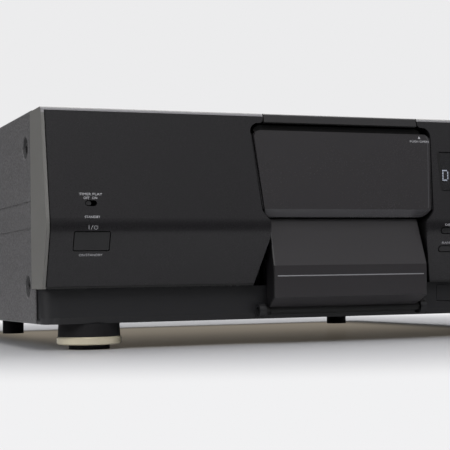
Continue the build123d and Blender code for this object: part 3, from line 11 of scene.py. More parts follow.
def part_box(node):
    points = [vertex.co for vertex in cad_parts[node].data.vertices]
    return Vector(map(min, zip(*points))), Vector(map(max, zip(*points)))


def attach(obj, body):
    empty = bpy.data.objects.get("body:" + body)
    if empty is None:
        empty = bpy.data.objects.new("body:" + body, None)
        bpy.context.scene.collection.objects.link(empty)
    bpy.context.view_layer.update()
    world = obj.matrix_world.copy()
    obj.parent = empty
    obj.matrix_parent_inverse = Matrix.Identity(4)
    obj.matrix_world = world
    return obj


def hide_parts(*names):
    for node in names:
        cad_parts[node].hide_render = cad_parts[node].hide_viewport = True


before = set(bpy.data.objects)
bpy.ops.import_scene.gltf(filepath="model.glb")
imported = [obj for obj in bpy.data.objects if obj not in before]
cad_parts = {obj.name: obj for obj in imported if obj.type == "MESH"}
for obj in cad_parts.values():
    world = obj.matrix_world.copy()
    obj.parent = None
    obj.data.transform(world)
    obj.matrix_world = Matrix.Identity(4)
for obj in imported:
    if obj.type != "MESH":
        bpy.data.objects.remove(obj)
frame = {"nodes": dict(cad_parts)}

log = logging.getLogger("disc_changer")
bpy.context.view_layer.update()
MM = 0.001
Point = tuple[float, float, float]


def srgb(red: float, green: float, blue: float) -> tuple[float, float, float, float]:
    """Turn screen values from 0 to 255 into the linear colour that Blender uses.

    Args:
        red: Red part of the colour.
        green: Green part of the colour.
        blue: Blue part of the colour.

    Returns:
        The linear colour with full alpha.
    """
    def linear(value: float) -> float:
        """Undo the screen's curve for one channel."""
        share = value / 255
        return share / 12.92 if share <= 0.04045 else ((share + 0.055) / 1.055) ** 2.4

    return linear(red), linear(green), linear(blue), 1.0


# ---------------------------------------------------------------- node trees
class Signal:
    """A number inside a shader, so that its maths reads as a formula."""

    def __init__(self, graph: "Graph", socket: bpy.types.NodeSocket) -> None:
        """Wrap the output socket of a node in a graph."""
        self.graph = graph
        self.socket = socket

    def _math(self, operation: str, *values: "Signal | float") -> "Signal":
        """Add one Math node over the given values."""
        made = self.graph.node("ShaderNodeMath", {"operation": operation}, dict(enumerate(values)))
        return Signal(self.graph, made.outputs[0])

    def __add__(self, other: "Signal | float") -> "Signal":
        """Sum of this number and another."""
        return self._math("ADD", self, other)

    __radd__ = __add__

    def __sub__(self, other: "Signal | float") -> "Signal":
        """This number less another."""
        return self._math("SUBTRACT", self, other)

    def __rsub__(self, other: "Signal | float") -> "Signal":
        """Another number less this one."""
        return self._math("SUBTRACT", other, self)

    def __mul__(self, other: "Signal | float") -> "Signal":
        """Product of this number and another."""
        return self._math("MULTIPLY", self, other)

    __rmul__ = __mul__

    def __gt__(self, other: "Signal | float") -> "Signal":
        """One where this number is above the other, else zero."""
        return self._math("GREATER_THAN", self, other)

    def __lt__(self, other: "Signal | float") -> "Signal":
        """One where this number is below the other, else zero."""
        return self._math("LESS_THAN", self, other)

    def above(self, low: float, high: float) -> "Signal":
        """Rise smoothly from 0 at low to 1 at high."""
        settings = {"interpolation_type": "SMOOTHSTEP"}
        made = self.graph.node("ShaderNodeMapRange", settings, {0: self, 1: low, 2: high})
        return Signal(self.graph, made.outputs[0])


class Graph:
    """A node tree that is filled node by node."""

    def __init__(self, tree: bpy.types.NodeTree) -> None:
        """Start on a tree and empty it."""
        self.tree = tree
        tree.nodes.clear()

    def node(self, kind: str, settings: dict | None = None, inputs: dict | None = None) -> bpy.types.Node:
        """Add a node.

        Args:
            kind: Blender's name of the node type.
            settings: Properties that are set first; stops holds a ramp's (place, colour) pairs.
            inputs: Values or links of its sockets, by name or number.

        Returns:
            The new node.
        """
        made = self.tree.nodes.new(kind)
        for name, value in (settings or {}).items():
            if name == "stops":
                ramp = made.color_ramp.elements
                while len(ramp) < len(value):
                    ramp.new(1.0)
                for element, (place, colour) in zip(ramp, value):
                    element.position, element.color = place, colour
            else:
                setattr(made, name, value)
        for key, value in (inputs or {}).items():
            self.feed(made.inputs[key], value)
        return made

    def feed(self, socket: bpy.types.NodeSocket, value: object) -> None:
        """Link or set one input socket."""
        if isinstance(value, Signal):
            self.tree.links.new(value.socket, socket)
        elif isinstance(value, bpy.types.NodeSocket):
            self.tree.links.new(value, socket)
        else:
            socket.default_value = value

    def blend(self, factor: "Signal | float", first: object, second: object) -> bpy.types.NodeSocket:
        """Mix two colours and give the result's socket."""
        made = self.node("ShaderNodeMix", {"data_type": "RGBA"}, {0: factor, 6: first, 7: second})
        return made.outputs[2]


# ---------------------------------------------------------------- finishes
class Grain(Enum):
    """Kinds of fine relief that a surface can have."""

    SMOOTH = "smooth"
    MOULDED = "moulded"
    PAINTED = "painted"
    TURNED = "turned"
    BRUSHED = "brushed"
    SPANGLED = "spangled"
    TRACKED = "tracked"


class Shade(Enum):
    """Parts of a piece whose colour carries painted light or shade."""

    NONE = "none"
    BEHIND_PLATES = "behind plates"
    UNDERSIDE = "underside"
    SIDES = "sides"
    DIMPLES = "dimples"


SIDE_SKIN = 219.5 * MM     # the cover's sides, where nothing is pressed in
PLATE_EDGE = 217.5 * MM    # outer edge of the face plates
# above TOP_RIM the frame's front edge gets a painted highlight; below it the frame behind the plates gets painted shade
TOP_RIM = 157.5 * MM       # above it the frame shows as a bright rim


@dataclass(frozen=True)
class Finish:
    """One material: its colour, its gloss and its grain at real size."""

    name: str
    colour: tuple[float, float, float, float]
    roughness: float
    grain: Grain = Grain.SMOOTH
    grain_size: float = 0.6 * MM
    relief: float = 0.03 * MM
    mottle: float = 0.12
    metallic: float = 0.0
    coat: float = 0.0
    specular: float = 0.5
    dust_and_top_sheen: float = 0.10
    glow: float = 0.0
    alpha: float = 1.0
    shade: Shade = Shade.NONE
    painted_tone: tuple[float, float, float, float] = srgb(14, 14, 14)
    rim_highlight_tone: tuple[float, float, float, float] = srgb(158, 157, 160)
    clouding: float = 0.25

    def _paint_light_and_shade(self, graph: Graph, place: bpy.types.NodeSocket, base: object) -> object:
        """Paint light and shade into places of a piece, chosen by where they stand and which way they face.

        Args:
            graph: The material's graph.
            place: Socket of the object coordinates.
            base: Colour of the rest of the piece.

        Returns:
            Socket of the colour with those places in it.
        """
        apart = graph.node("ShaderNodeSeparateXYZ", {}, {0: place}).outputs
        across, height = Signal(graph, apart[0]), Signal(graph, apart[2])
        normal = graph.node("ShaderNodeNewGeometry").outputs["True Normal"]
        facing = graph.node("ShaderNodeSeparateXYZ", {}, {0: normal}).outputs
        sideways, forward, upward = (Signal(graph, facing[axis]) for axis in range(3))
        if self.shade is Shade.BEHIND_PLATES:
            # painted highlight on the frame's forward-facing top edge, then painted shade on the frame behind and
            # between the face plates
            base = graph.blend((forward < -0.7) * (height > TOP_RIM), base, self.rim_highlight_tone)
            mask = (across * across < PLATE_EDGE**2) * (height < TOP_RIM)
        elif self.shade is Shade.DIMPLES:
            # painted shade in the dimples pressed into the cover's sides
            mask = (across * across < SIDE_SKIN**2) * (across * across > PLATE_EDGE**2) * (height < TOP_RIM)
        elif self.shade is Shade.SIDES:
            # painted shade on faces that face sideways
            mask = sideways * sideways > 0.1
        else:
            # faces that face down get a painted tone: painted shade under the lintel, a lighter painted reflection of
            # the floor on the window's bevel
            mask = upward < -0.25
        return graph.blend(mask, base, self.painted_tone)

    def _pattern(self, graph: Graph, place: bpy.types.NodeSocket) -> Signal:
        """Make the fine pattern that colour, gloss and relief share."""
        scale = 1 / self.grain_size
        if self.grain is Grain.PAINTED:
            coarse = graph.node("ShaderNodeTexVoronoi", {"feature": "SMOOTH_F1"}, {"Vector": place, "Scale": scale})
            fine = graph.node("ShaderNodeTexNoise", {}, {"Vector": place, "Scale": scale * 1.7, "Detail": 3.0})
            return Signal(graph, coarse.outputs["Distance"]) * 0.7 + Signal(graph, fine.outputs[0]) * 0.5
        if self.grain is Grain.SPANGLED:
            cells = graph.node("ShaderNodeTexVoronoi", {}, {"Vector": place, "Scale": scale})
            return Signal(graph, graph.node("ShaderNodeSeparateColor", {}, {0: cells.outputs["Color"]}).outputs[0])
        if self.grain is Grain.TRACKED:
            tracks = graph.node("ShaderNodeTexBrick", {"offset": 0.37}, {"Vector": place, "Scale": scale})
            return Signal(graph, tracks.outputs["Fac"])
        stretch = {
            Grain.TURNED: (0.0, 0.0, 1.0),
            Grain.BRUSHED: (0.02, 1.0, 1.0),
        }.get(self.grain, (1.0, 1.0, 1.0))
        turned = graph.node("ShaderNodeMapping", {}, {"Vector": place, "Scale": stretch})
        noise = graph.node(
            "ShaderNodeTexNoise", {}, {"Vector": turned.outputs[0], "Scale": scale, "Detail": 4.0, "Roughness": 0.6}
        )
        return Signal(graph, noise.outputs[0])

    def build(self) -> bpy.types.Material:
        """Make the material with its nodes.

        Returns:
            The finished material.
        """
        material = bpy.data.materials.new(self.name)
        material.use_nodes = True
        graph = Graph(material.node_tree)
        place = graph.node("ShaderNodeTexCoord").outputs["Object"]
        pattern = self._pattern(graph, place)
        clouds = graph.node("ShaderNodeTexNoise", {}, {"Vector": place, "Scale": 14.0, "Detail": 3.0})
        wide = Signal(graph, clouds.outputs[0])
        light = tuple(min(1.0, part * (1 + self.mottle)) for part in self.colour[:3]) + (1.0,)
        dark = tuple(part * (1 - self.mottle) for part in self.colour[:3]) + (1.0,)
        tone = pattern * (1 - self.clouding) + wide * self.clouding
        base = graph.blend(tone.above(0.3, 0.7), dark, light)
        if self.shade is not Shade.NONE:
            base = self._paint_light_and_shade(graph, place, base)
        # dust and a painted top sheen: patches on what faces up turn lighter and rougher
        facing = graph.node("ShaderNodeNewGeometry").outputs["Normal"]
        upward = Signal(graph, graph.node("ShaderNodeSeparateXYZ", {}, {0: facing}).outputs[2])
        dust_and_top_sheen = upward.above(0.6, 1.0) * wide.above(0.35, 0.75) * self.dust_and_top_sheen
        base = graph.blend(dust_and_top_sheen, base, srgb(150, 147, 142))
        rough = pattern * 0.10 + wide * 0.08 + dust_and_top_sheen * 0.5 + (self.roughness - 0.09)
        bump = graph.node(
            "ShaderNodeBump", {}, {"Strength": 1.0, "Distance": self.relief, "Height": pattern}
        )
        shader = graph.node("ShaderNodeBsdfPrincipled", {}, {
            "Base Color": base,
            "Roughness": rough,
            "Metallic": self.metallic,
            "Normal": bump.outputs[0],
            "Coat Weight": self.coat,
            "Coat Roughness": 0.08,
            "Specular IOR Level": self.specular,
            "Alpha": self.alpha,
            "Emission Color": self.colour,
            "Emission Strength": self.glow,
        })
        graph.node("ShaderNodeOutputMaterial", {}, {"Surface": shader.outputs[0]})
        return material


@dataclass(frozen=True)
class Palette:
    """All the finishes of the changer."""

    # the frame's light tone shows on the cheeks; a painted highlight lies on its top front edge and painted shade
    # behind the plates
    frame: Finish = Finish(
        "frame_plastic", srgb(124, 123, 120), 0.40, Grain.MOULDED, 0.5 * MM, 0.012 * MM, 0.05,
        shade=Shade.BEHIND_PLATES,
    )
    face: Finish = Finish("face_plastic", srgb(35, 34, 36), 0.27, Grain.MOULDED, 0.35 * MM, 0.003 * MM, 0.06)
    # painted shade darkens the chin's sides
    chin: Finish = Finish(
        "chin_plastic", srgb(54, 52, 54), 0.34, Grain.MOULDED, 0.35 * MM, 0.004 * MM, 0.05,
        shade=Shade.SIDES, painted_tone=srgb(24, 23, 25),
    )
    base: Finish = Finish("base_plastic", srgb(33, 33, 35), 0.40, Grain.MOULDED, 0.5 * MM, 0.006 * MM, 0.08)
    key: Finish = Finish("key_plastic", srgb(33, 33, 34), 0.36, Grain.MOULDED, 0.3 * MM, 0.003 * MM, 0.05)
    inner: Finish = Finish("inner_plastic", srgb(14, 14, 14), 0.6, Grain.MOULDED, 0.5 * MM, 0.01 * MM, 0.1)
    gear: Finish = Finish("gear_plastic", srgb(214, 211, 202), 0.42, Grain.MOULDED, 0.4 * MM, 0.004 * MM, 0.04)
    # painted shade darkens the dimples round the side screws
    cover: Finish = Finish(
        "cover_paint", srgb(92, 91, 92), 0.55, Grain.PAINTED, 1.3 * MM, 0.2 * MM, 0.42,
        dust_and_top_sheen=0.04, shade=Shade.DIMPLES, painted_tone=srgb(46, 46, 47), clouding=0.08,
    )
    zinc: Finish = Finish(
        "zinc_sheet", srgb(168, 170, 168), 0.38, Grain.SPANGLED, 7 * MM, 0.002 * MM, 0.10, metallic=0.9
    )
    rear: Finish = Finish("rear_paint", srgb(38, 37, 37), 0.48, Grain.PAINTED, 0.5 * MM, 0.02 * MM, 0.12)
    screw: Finish = Finish("screw_steel", srgb(52, 51, 52), 0.33, Grain.TURNED, 0.25 * MM, 0.004 * MM, 0.12, 0.85)
    motor: Finish = Finish("motor_steel", srgb(178, 178, 176), 0.32, Grain.TURNED, 0.4 * MM, 0.004 * MM, 0.08, 0.95)
    gold: Finish = Finish("gold_ring", srgb(244, 234, 206), 0.22, Grain.TURNED, 0.22 * MM, 0.004 * MM, 0.04, 0.5, 0.4)
    rubber: Finish = Finish("foot_rubber", srgb(19, 18, 20), 0.62, Grain.MOULDED, 0.6 * MM, 0.02 * MM, 0.12, specular=0.3)
    belt: Finish = Finish("belt_rubber", srgb(22, 22, 22), 0.6, Grain.MOULDED, 0.4 * MM, 0.01 * MM, 0.1)
    board: Finish = Finish("circuit_board", srgb(38, 92, 52), 0.38, Grain.TRACKED, 9 * MM, 0.02 * MM, 0.2)
    switch: Finish = Finish("switch_plastic", srgb(62, 62, 66), 0.5, Grain.MOULDED, 0.4 * MM, 0.005 * MM, 0.08)
    core: Finish = Finish("core_steel", srgb(104, 98, 88), 0.45, Grain.BRUSHED, 0.5 * MM, 0.03 * MM, 0.2)
    jack: Finish = Finish("jack_plastic", srgb(34, 34, 34), 0.3, Grain.SMOOTH, 0.5 * MM, 0.002 * MM, 0.06)
    nickel: Finish = Finish("jack_metal", srgb(206, 203, 196), 0.2, Grain.TURNED, 0.3 * MM, 0.002 * MM, 0.04, 1.0)
    window: Finish = Finish("smoked_window", srgb(40, 40, 42), 0.16, Grain.SMOOTH, 1 * MM, 0.001 * MM, 0.04, alpha=0.7)
    # a lighter painted reflection of the floor on the window's downward-facing bevel
    door_glass: Finish = Finish(
        "door_glass", srgb(50, 48, 50), 0.26, Grain.SMOOTH, 1 * MM, 0.001 * MM, 0.03, coat=0.2,
        shade=Shade.UNDERSIDE, painted_tone=srgb(86, 85, 88),
    )
    # painted shade darkens the lintel's underside
    lintel: Finish = Finish(
        "lintel_plastic", srgb(54, 53, 54), 0.36, Grain.MOULDED, 0.35 * MM, 0.003 * MM, 0.05, shade=Shade.UNDERSIDE
    )
    tube: Finish = Finish("tube_glass", srgb(46, 48, 52), 0.15, Grain.SMOOTH, 1 * MM, 0.001 * MM, 0.05)
    silver: Finish = Finish("silver_line", srgb(190, 190, 194), 0.30, Grain.BRUSHED, 0.3 * MM, 0.002 * MM, 0.05, 0.6)
    # painted highlight along the window's cut edge
    rim: Finish = Finish("window_rim_glint", srgb(96, 96, 99), 0.4, Grain.SMOOTH, 0.3 * MM, 0.001 * MM, 0.04)
    print: Finish = Finish("label_print", srgb(204, 204, 208), 0.5, Grain.SMOOTH, 0.3 * MM, 0.001 * MM, 0.04)
    lit: Finish = Finish("lit_dots", srgb(206, 214, 230), 0.4, Grain.SMOOTH, 0.3 * MM, 0.001 * MM, 0.03, glow=8.0)
    unlit: Finish = Finish("unlit_dots", srgb(58, 59, 63), 0.3, Grain.SMOOTH, 0.3 * MM, 0.001 * MM, 0.05)
    white: Finish = Finish("white_insert", srgb(222, 220, 214), 0.35, Grain.SMOOTH, 0.4 * MM, 0.002 * MM, 0.03)
    red: Finish = Finish("red_insert", srgb(176, 34, 32), 0.35, Grain.SMOOTH, 0.4 * MM, 0.002 * MM, 0.05)


class Workshop:
    """Makes each finish once and hands it out."""

    def __init__(self, palette: Palette) -> None:
        """Start with a palette and no materials made yet."""
        self.palette = palette
        self.made: dict[str, bpy.types.Material] = {}

    def material(self, finish: Finish) -> bpy.types.Material:
        """Give a finish's material, making it the first time."""
        if finish.name not in self.made:
            self.made[finish.name] = finish.build()
        return self.made[finish.name]

    def paint_nodes(self, finish: Finish, *nodes: str) -> None:
        """Give CAD nodes their material.

        Args:
            finish: The finish that they get.
            nodes: Names of the nodes.
        """
        for name in nodes:
            mesh = frame["nodes"][name].data
            mesh.materials.clear()
            mesh.materials.append(self.material(finish))


# ---------------------------------------------------------------- mesh making
class Draft:
    """A mesh being built in metres, in the part's own frame."""

    def __init__(self) -> None:
        """Start with an empty mesh."""
        self.bm = bmesh.new()

    def add_mesh(self, mesh: bpy.types.Mesh, place: Matrix) -> None:
        """Add a copy of a mesh, moved to its place."""
        copy = mesh.copy()
        copy.transform(place)
        self.bm.from_mesh(copy)
        bpy.data.meshes.remove(copy)

    def block(self, low: Point, high: Point, bevel: float = 0.0, place: Matrix | None = None) -> None:
        """Add a box with bevelled edges between two corners.

        Args:
            low: Lowest corner.
            high: Highest corner.
            bevel: Width of the bevel on its edges.
            place: Where the box is moved to.
        """
        made = bmesh.new()
        middle = (Vector(low) + Vector(high)) / 2
        size = Vector(high) - Vector(low)
        bmesh.ops.create_cube(made, size=1.0, matrix=Matrix.Translation(middle) @ Matrix.Diagonal((*size, 1)))
        if bevel:
            bmesh.ops.bevel(made, geom=made.edges[:], offset=bevel, segments=2, affect="EDGES", profile=0.6)
        self._take(made, place)

    def lathe(self, profile: list[tuple[float, float]], place: Matrix, sides: int = 48) -> None:
        """Turn a closed (radius, height) profile about the Z axis of its place.

        Args:
            profile: Points from the axis out and back to it.
            place: Where the turned shape stands.
            sides: Steps round the axis.
        """
        made = bmesh.new()
        corners = [made.verts.new((radius, 0, height)) for radius, height in profile]
        rim = [made.edges.new(pair) for pair in zip(corners, corners[1:])]
        bmesh.ops.spin(
            made, geom=corners + rim, cent=(0, 0, 0), axis=(0, 0, 1), angle=2 * pi, steps=sides, use_merge=True
        )
        bmesh.ops.remove_doubles(made, verts=made.verts[:], dist=1e-6)
        bmesh.ops.recalc_face_normals(made, faces=made.faces[:])
        self._take(made, place)

    def prism(self, outline: list[tuple[float, float]], thickness: float, place: Matrix) -> None:
        """Raise a flat outline along the Z axis of its place.

        Args:
            outline: Corners, counter-clockwise.
            thickness: Height of the prism.
            place: Where the outline's plane stands.
        """
        made = bmesh.new()
        low = made.faces.new([made.verts.new((x, y, 0)) for x, y in outline])
        raised = bmesh.ops.extrude_face_region(made, geom=[low])["geom"]
        moved = [item for item in raised if isinstance(item, bmesh.types.BMVert)]
        bmesh.ops.translate(made, verts=moved, vec=(0, 0, thickness))
        bmesh.ops.recalc_face_normals(made, faces=made.faces[:])
        self._take(made, place)

    def _take(self, other: bmesh.types.BMesh, place: Matrix | None) -> None:
        """Add another draft's faces and free it."""
        if place is not None:
            other.transform(place)
        mesh = bpy.data.meshes.new("part")
        other.to_mesh(mesh)
        other.free()
        self.bm.from_mesh(mesh)
        bpy.data.meshes.remove(mesh)

    def letters(self, words: str, height: float, place: Matrix, align: str = "CENTER") -> None:
        """Add a line of printed letters that lies on the XY plane of its place.

        Args:
            words: What is printed.
            height: Height of the capitals.
            place: Where the line's middle foot stands.
            align: Blender's name for the alignment.
        """
        curve = bpy.data.curves.new("words", "FONT")
        curve.body = words
        curve.size = height * CAPITAL_TO_SIZE
        curve.align_x = align
        curve.extrude = PRINT_THICKNESS
        curve.resolution_u = 3
        holder = bpy.data.objects.new("words", curve)
        bpy.context.scene.collection.objects.link(holder)
        bpy.context.view_layer.update()
        mesh = bpy.data.meshes.new_from_object(holder.evaluated_get(bpy.context.evaluated_depsgraph_get()))
        bpy.data.objects.remove(holder)
        bpy.data.curves.remove(curve)
        self.add_mesh(mesh, place)
        bpy.data.meshes.remove(mesh)

    def finish(self, name: str, smooth_below: float = 32.0) -> bpy.types.Object:
        """Close the draft and make an object of it.

        Args:
            name: Name of the piece.
            smooth_below: Edges that turn less than this many degrees are shaded smooth.

        Returns:
            The new object, at the origin.
        """
        mesh = bpy.data.meshes.new(name)
        self.bm.to_mesh(mesh)
        self.bm.free()
        mesh.polygons.foreach_set("use_smooth", [True] * len(mesh.polygons))
        mesh.set_sharp_from_angle(angle=radians(smooth_below))
        piece = bpy.data.objects.new(name, mesh)
        bpy.context.scene.collection.objects.link(piece)
        return piece


CAPITAL_TO_SIZE = 1.44     # text size that gives capitals of unit height
PRINT_THICKNESS = 0.03 * MM


class Layout(Enum):
    """How a repeated shape is laid out."""

    POINTS = "Points"
    RING = "Ring"
    GRID = "Grid"


@dataclass
class Repeater:
    """Geometry Nodes tree that repeats a shape over points, round a ring or in a grid."""

    layout: Layout
    tree: bpy.types.NodeTree = field(init=False)

    SOCKETS = {
        "Shape": "NodeSocketObject",
        "Finish": "NodeSocketMaterial",
        "Count": "NodeSocketInt",
        "Rows": "NodeSocketInt",
        "Width": "NodeSocketFloat",
        "Height": "NodeSocketFloat",
        "Turn": "NodeSocketFloat",
        "Seed": "NodeSocketInt",
    }

    def __post_init__(self) -> None:
        """Build the tree for the layout."""
        self.tree = bpy.data.node_groups.new(f"Repeat {self.layout.value}", "GeometryNodeTree")
        graph = Graph(self.tree)
        self.tree.interface.new_socket("Geometry", in_out="INPUT", socket_type="NodeSocketGeometry")
        for name, kind in self.SOCKETS.items():
            self.tree.interface.new_socket(name, in_out="INPUT", socket_type=kind)
        self.tree.interface.new_socket("Geometry", in_out="OUTPUT", socket_type="NodeSocketGeometry")
        given = graph.node("NodeGroupInput").outputs
        shape = graph.node("GeometryNodeObjectInfo", {}, {"Object": given["Shape"], "As Instance": True})
        points, facing = self._points(graph, given)
        aligned = graph.node("FunctionNodeAlignRotationToVector", {"axis": "Z"}, {"Vector": facing})
        chance = graph.node(
            "FunctionNodeRandomValue", {"data_type": "FLOAT"}, {2: 0.0, 3: given["Turn"], "Seed": given["Seed"]}
        )
        own_turn = graph.node("ShaderNodeCombineXYZ", {}, {2: chance.outputs[1]})
        turned = graph.node(
            "FunctionNodeRotateRotation",
            {"rotation_space": "LOCAL"},
            {0: aligned.outputs[0], 1: own_turn.outputs[0]},
        )
        placed = graph.node(
            "GeometryNodeInstanceOnPoints",
            {},
            {"Points": points, "Instance": shape.outputs["Geometry"], "Rotation": turned.outputs[0]},
        )
        real = graph.node("GeometryNodeRealizeInstances", {}, {0: placed.outputs[0]})
        dressed = graph.node(
            "GeometryNodeSetMaterial", {}, {"Geometry": real.outputs[0], "Material": given["Finish"]}
        )
        graph.node("NodeGroupOutput", {}, {0: dressed.outputs[0]})

    def _points(
        self, graph: Graph, given: bpy.types.bpy_prop_collection
    ) -> tuple[bpy.types.NodeSocket, bpy.types.NodeSocket]:
        """Make the points of the layout and the way that each one faces."""
        if self.layout is Layout.POINTS:
            facing = graph.node(
                "GeometryNodeInputNamedAttribute", {"data_type": "FLOAT_VECTOR"}, {"Name": "facing"}
            )
            return given["Geometry"], facing.outputs[0]
        if self.layout is Layout.RING:
            ring = graph.node(
                "GeometryNodeMeshCircle", {}, {"Vertices": given["Count"], "Radius": given["Width"]}
            )
            outward = graph.node("GeometryNodeInputPosition")
            return ring.outputs[0], outward.outputs[0]
        grid = graph.node("GeometryNodeMeshGrid", {}, {
            "Size X": given["Width"],
            "Size Y": given["Height"],
            "Vertices X": given["Count"],
            "Vertices Y": given["Rows"],
        })
        upright = graph.node("ShaderNodeCombineXYZ", {}, {2: 1.0})
        return grid.outputs[0], upright.outputs[0]

    def mesh(self, shape: bpy.types.Object, material: bpy.types.Material, carrier: bpy.types.Mesh | None = None,
             **sizes: float) -> bpy.types.Mesh:
        """Run the tree once and give its result as a plain mesh.

        Args:
            shape: Object that is repeated.
            material: Material of the copies.
            carrier: Mesh whose vertices carry the copies, for the points layout.
            sizes: Other inputs of the tree, by name.

        Returns:
            One mesh with all the copies.
        """
        start = carrier or bpy.data.meshes.new("carrier")
        holder = bpy.data.objects.new("repeat", start)
        bpy.context.scene.collection.objects.link(holder)
        modifier = holder.modifiers.new("Repeat", "NODES")
        modifier.node_group = self.tree
        values = {"Shape": shape, "Finish": material, **sizes}
        for item in self.tree.interface.items_tree:
            if item.in_out == "INPUT" and item.name in values:
                modifier[item.identifier] = values[item.name]
        bpy.context.view_layer.update()
        evaluated = holder.evaluated_get(bpy.context.evaluated_depsgraph_get())
        result = bpy.data.meshes.new_from_object(evaluated)
        holder.modifiers.remove(modifier)
        bpy.data.objects.remove(holder)
        bpy.data.objects.remove(shape)
        return result


def carrier_of(spots: list[tuple[Vector, Vector]]) -> bpy.types.Mesh:
    """Make a mesh of loose points that each face some way.

    Args:
        spots: Pairs of a place and the direction that it faces.

    Returns:
        The mesh, with the directions in its attribute "facing".
    """
    mesh = bpy.data.meshes.new("spots")
    mesh.from_pydata([spot for spot, _ in spots], [], [])
    facing = mesh.attributes.new("facing", "FLOAT_VECTOR", "POINT")
    facing.data.foreach_set("vector", [value for _, way in spots for value in way])
    return mesh


def upright_place(spot: Point) -> Matrix:
    """Place whose XY plane faces the front: X to the right, Y up and Z out of the front."""
    return Matrix.Translation(Vector(spot)) @ Matrix.Rotation(pi / 2, 4, "X")


def slot_outline(length: float, height: float, steps: int = 8) -> list[tuple[float, float]]:
    """Corners of a slot with round ends about the origin."""
    radius = height / 2
    reach = length / 2 - radius
    right = [radians(-90 + 180 * step / steps) for step in range(steps + 1)]
    left = [turn + pi for turn in right]
    corners = [(reach + radius * cos(turn), radius * sin(turn)) for turn in right]
    return corners + [(-reach + radius * cos(turn), radius * sin(turn)) for turn in left]


def round_rectangle(width: float, height: float, corner: float, steps: int = 5) -> list[tuple[float, float]]:
    """Corners of a rectangle with round corners about the origin."""
    outline = []
    for quarter, (side, level) in enumerate(((1, 1), (-1, 1), (-1, -1), (1, -1))):
        middle = (side * (width / 2 - corner), level * (height / 2 - corner))
        for step in range(steps + 1):
            turn = radians(90 * (quarter + step / steps))
            outline.append((middle[0] + corner * cos(turn), middle[1] + corner * sin(turn)))
    return outline


# ---------------------------------------------------------------- shared shape of the front
@dataclass
class FrontFace:
    """The front's two slanting planes and the round crease between them."""

    crease_z: float = 80.9 * MM
    crease_y: float = -215.6 * MM
    crease_radius: float = 25.0 * MM
    upper_lean: float = 0.167
    lower_lean: float = 0.362

    def depth(self, z: float) -> float:
        """Y of the face at a height."""
        above, below = Vector((-1, self.upper_lean)), Vector((-1, -self.lower_lean))
        inward = -(above.normalized() + below.normalized()).normalized()
        reach = self.crease_radius / sqrt((1 + above.normalized().dot(below.normalized())) / 2)
        middle = Vector((self.crease_y, self.crease_z)) + inward * reach
        rise = z - middle.y
        if rise > self.crease_radius * above.normalized().y:
            return self.crease_y + (z - self.crease_z) * self.upper_lean
        if rise < self.crease_radius * below.normalized().y:
            return self.crease_y + (self.crease_z - z) * self.lower_lean
        return middle.x - sqrt(self.crease_radius**2 - rise**2)

    def place(self, x: float, z: float, lift: float = 0.02 * MM) -> Matrix:
        """Place whose XY plane lies on the face and whose Z axis points out of it.

        Args:
            x: Distance to the right of the middle.
            z: Height above the floor.
            lift: How far the place stands off the face.

        Returns:
            The place as a matrix.
        """
        step = 0.5 * MM
        up = Vector((0, (self.depth(z + step) - self.depth(z - step)) / (2 * step), 1)).normalized()
        right = Vector((1, 0, 0))
        out = right.cross(up)
        turn = Matrix((right, up, out)).transposed().to_4x4()
        return Matrix.Translation(Vector((x, self.depth(z), z)) + out * lift) @ turn


FACE = FrontFace()


def ride_piece(piece: bpy.types.Object, body: str, material: bpy.types.Material | None = None) -> None:
    """Finish a piece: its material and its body.

    Args:
        piece: The piece, with its place in its mesh.
        body: The CAD body that it moves with.
        material: The material, unless its mesh already has one.
    """
    if material is not None:
        piece.data.materials.clear()
        piece.data.materials.append(material)
    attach(piece, body)
    log.info("%s rides on %s", piece.name, body)


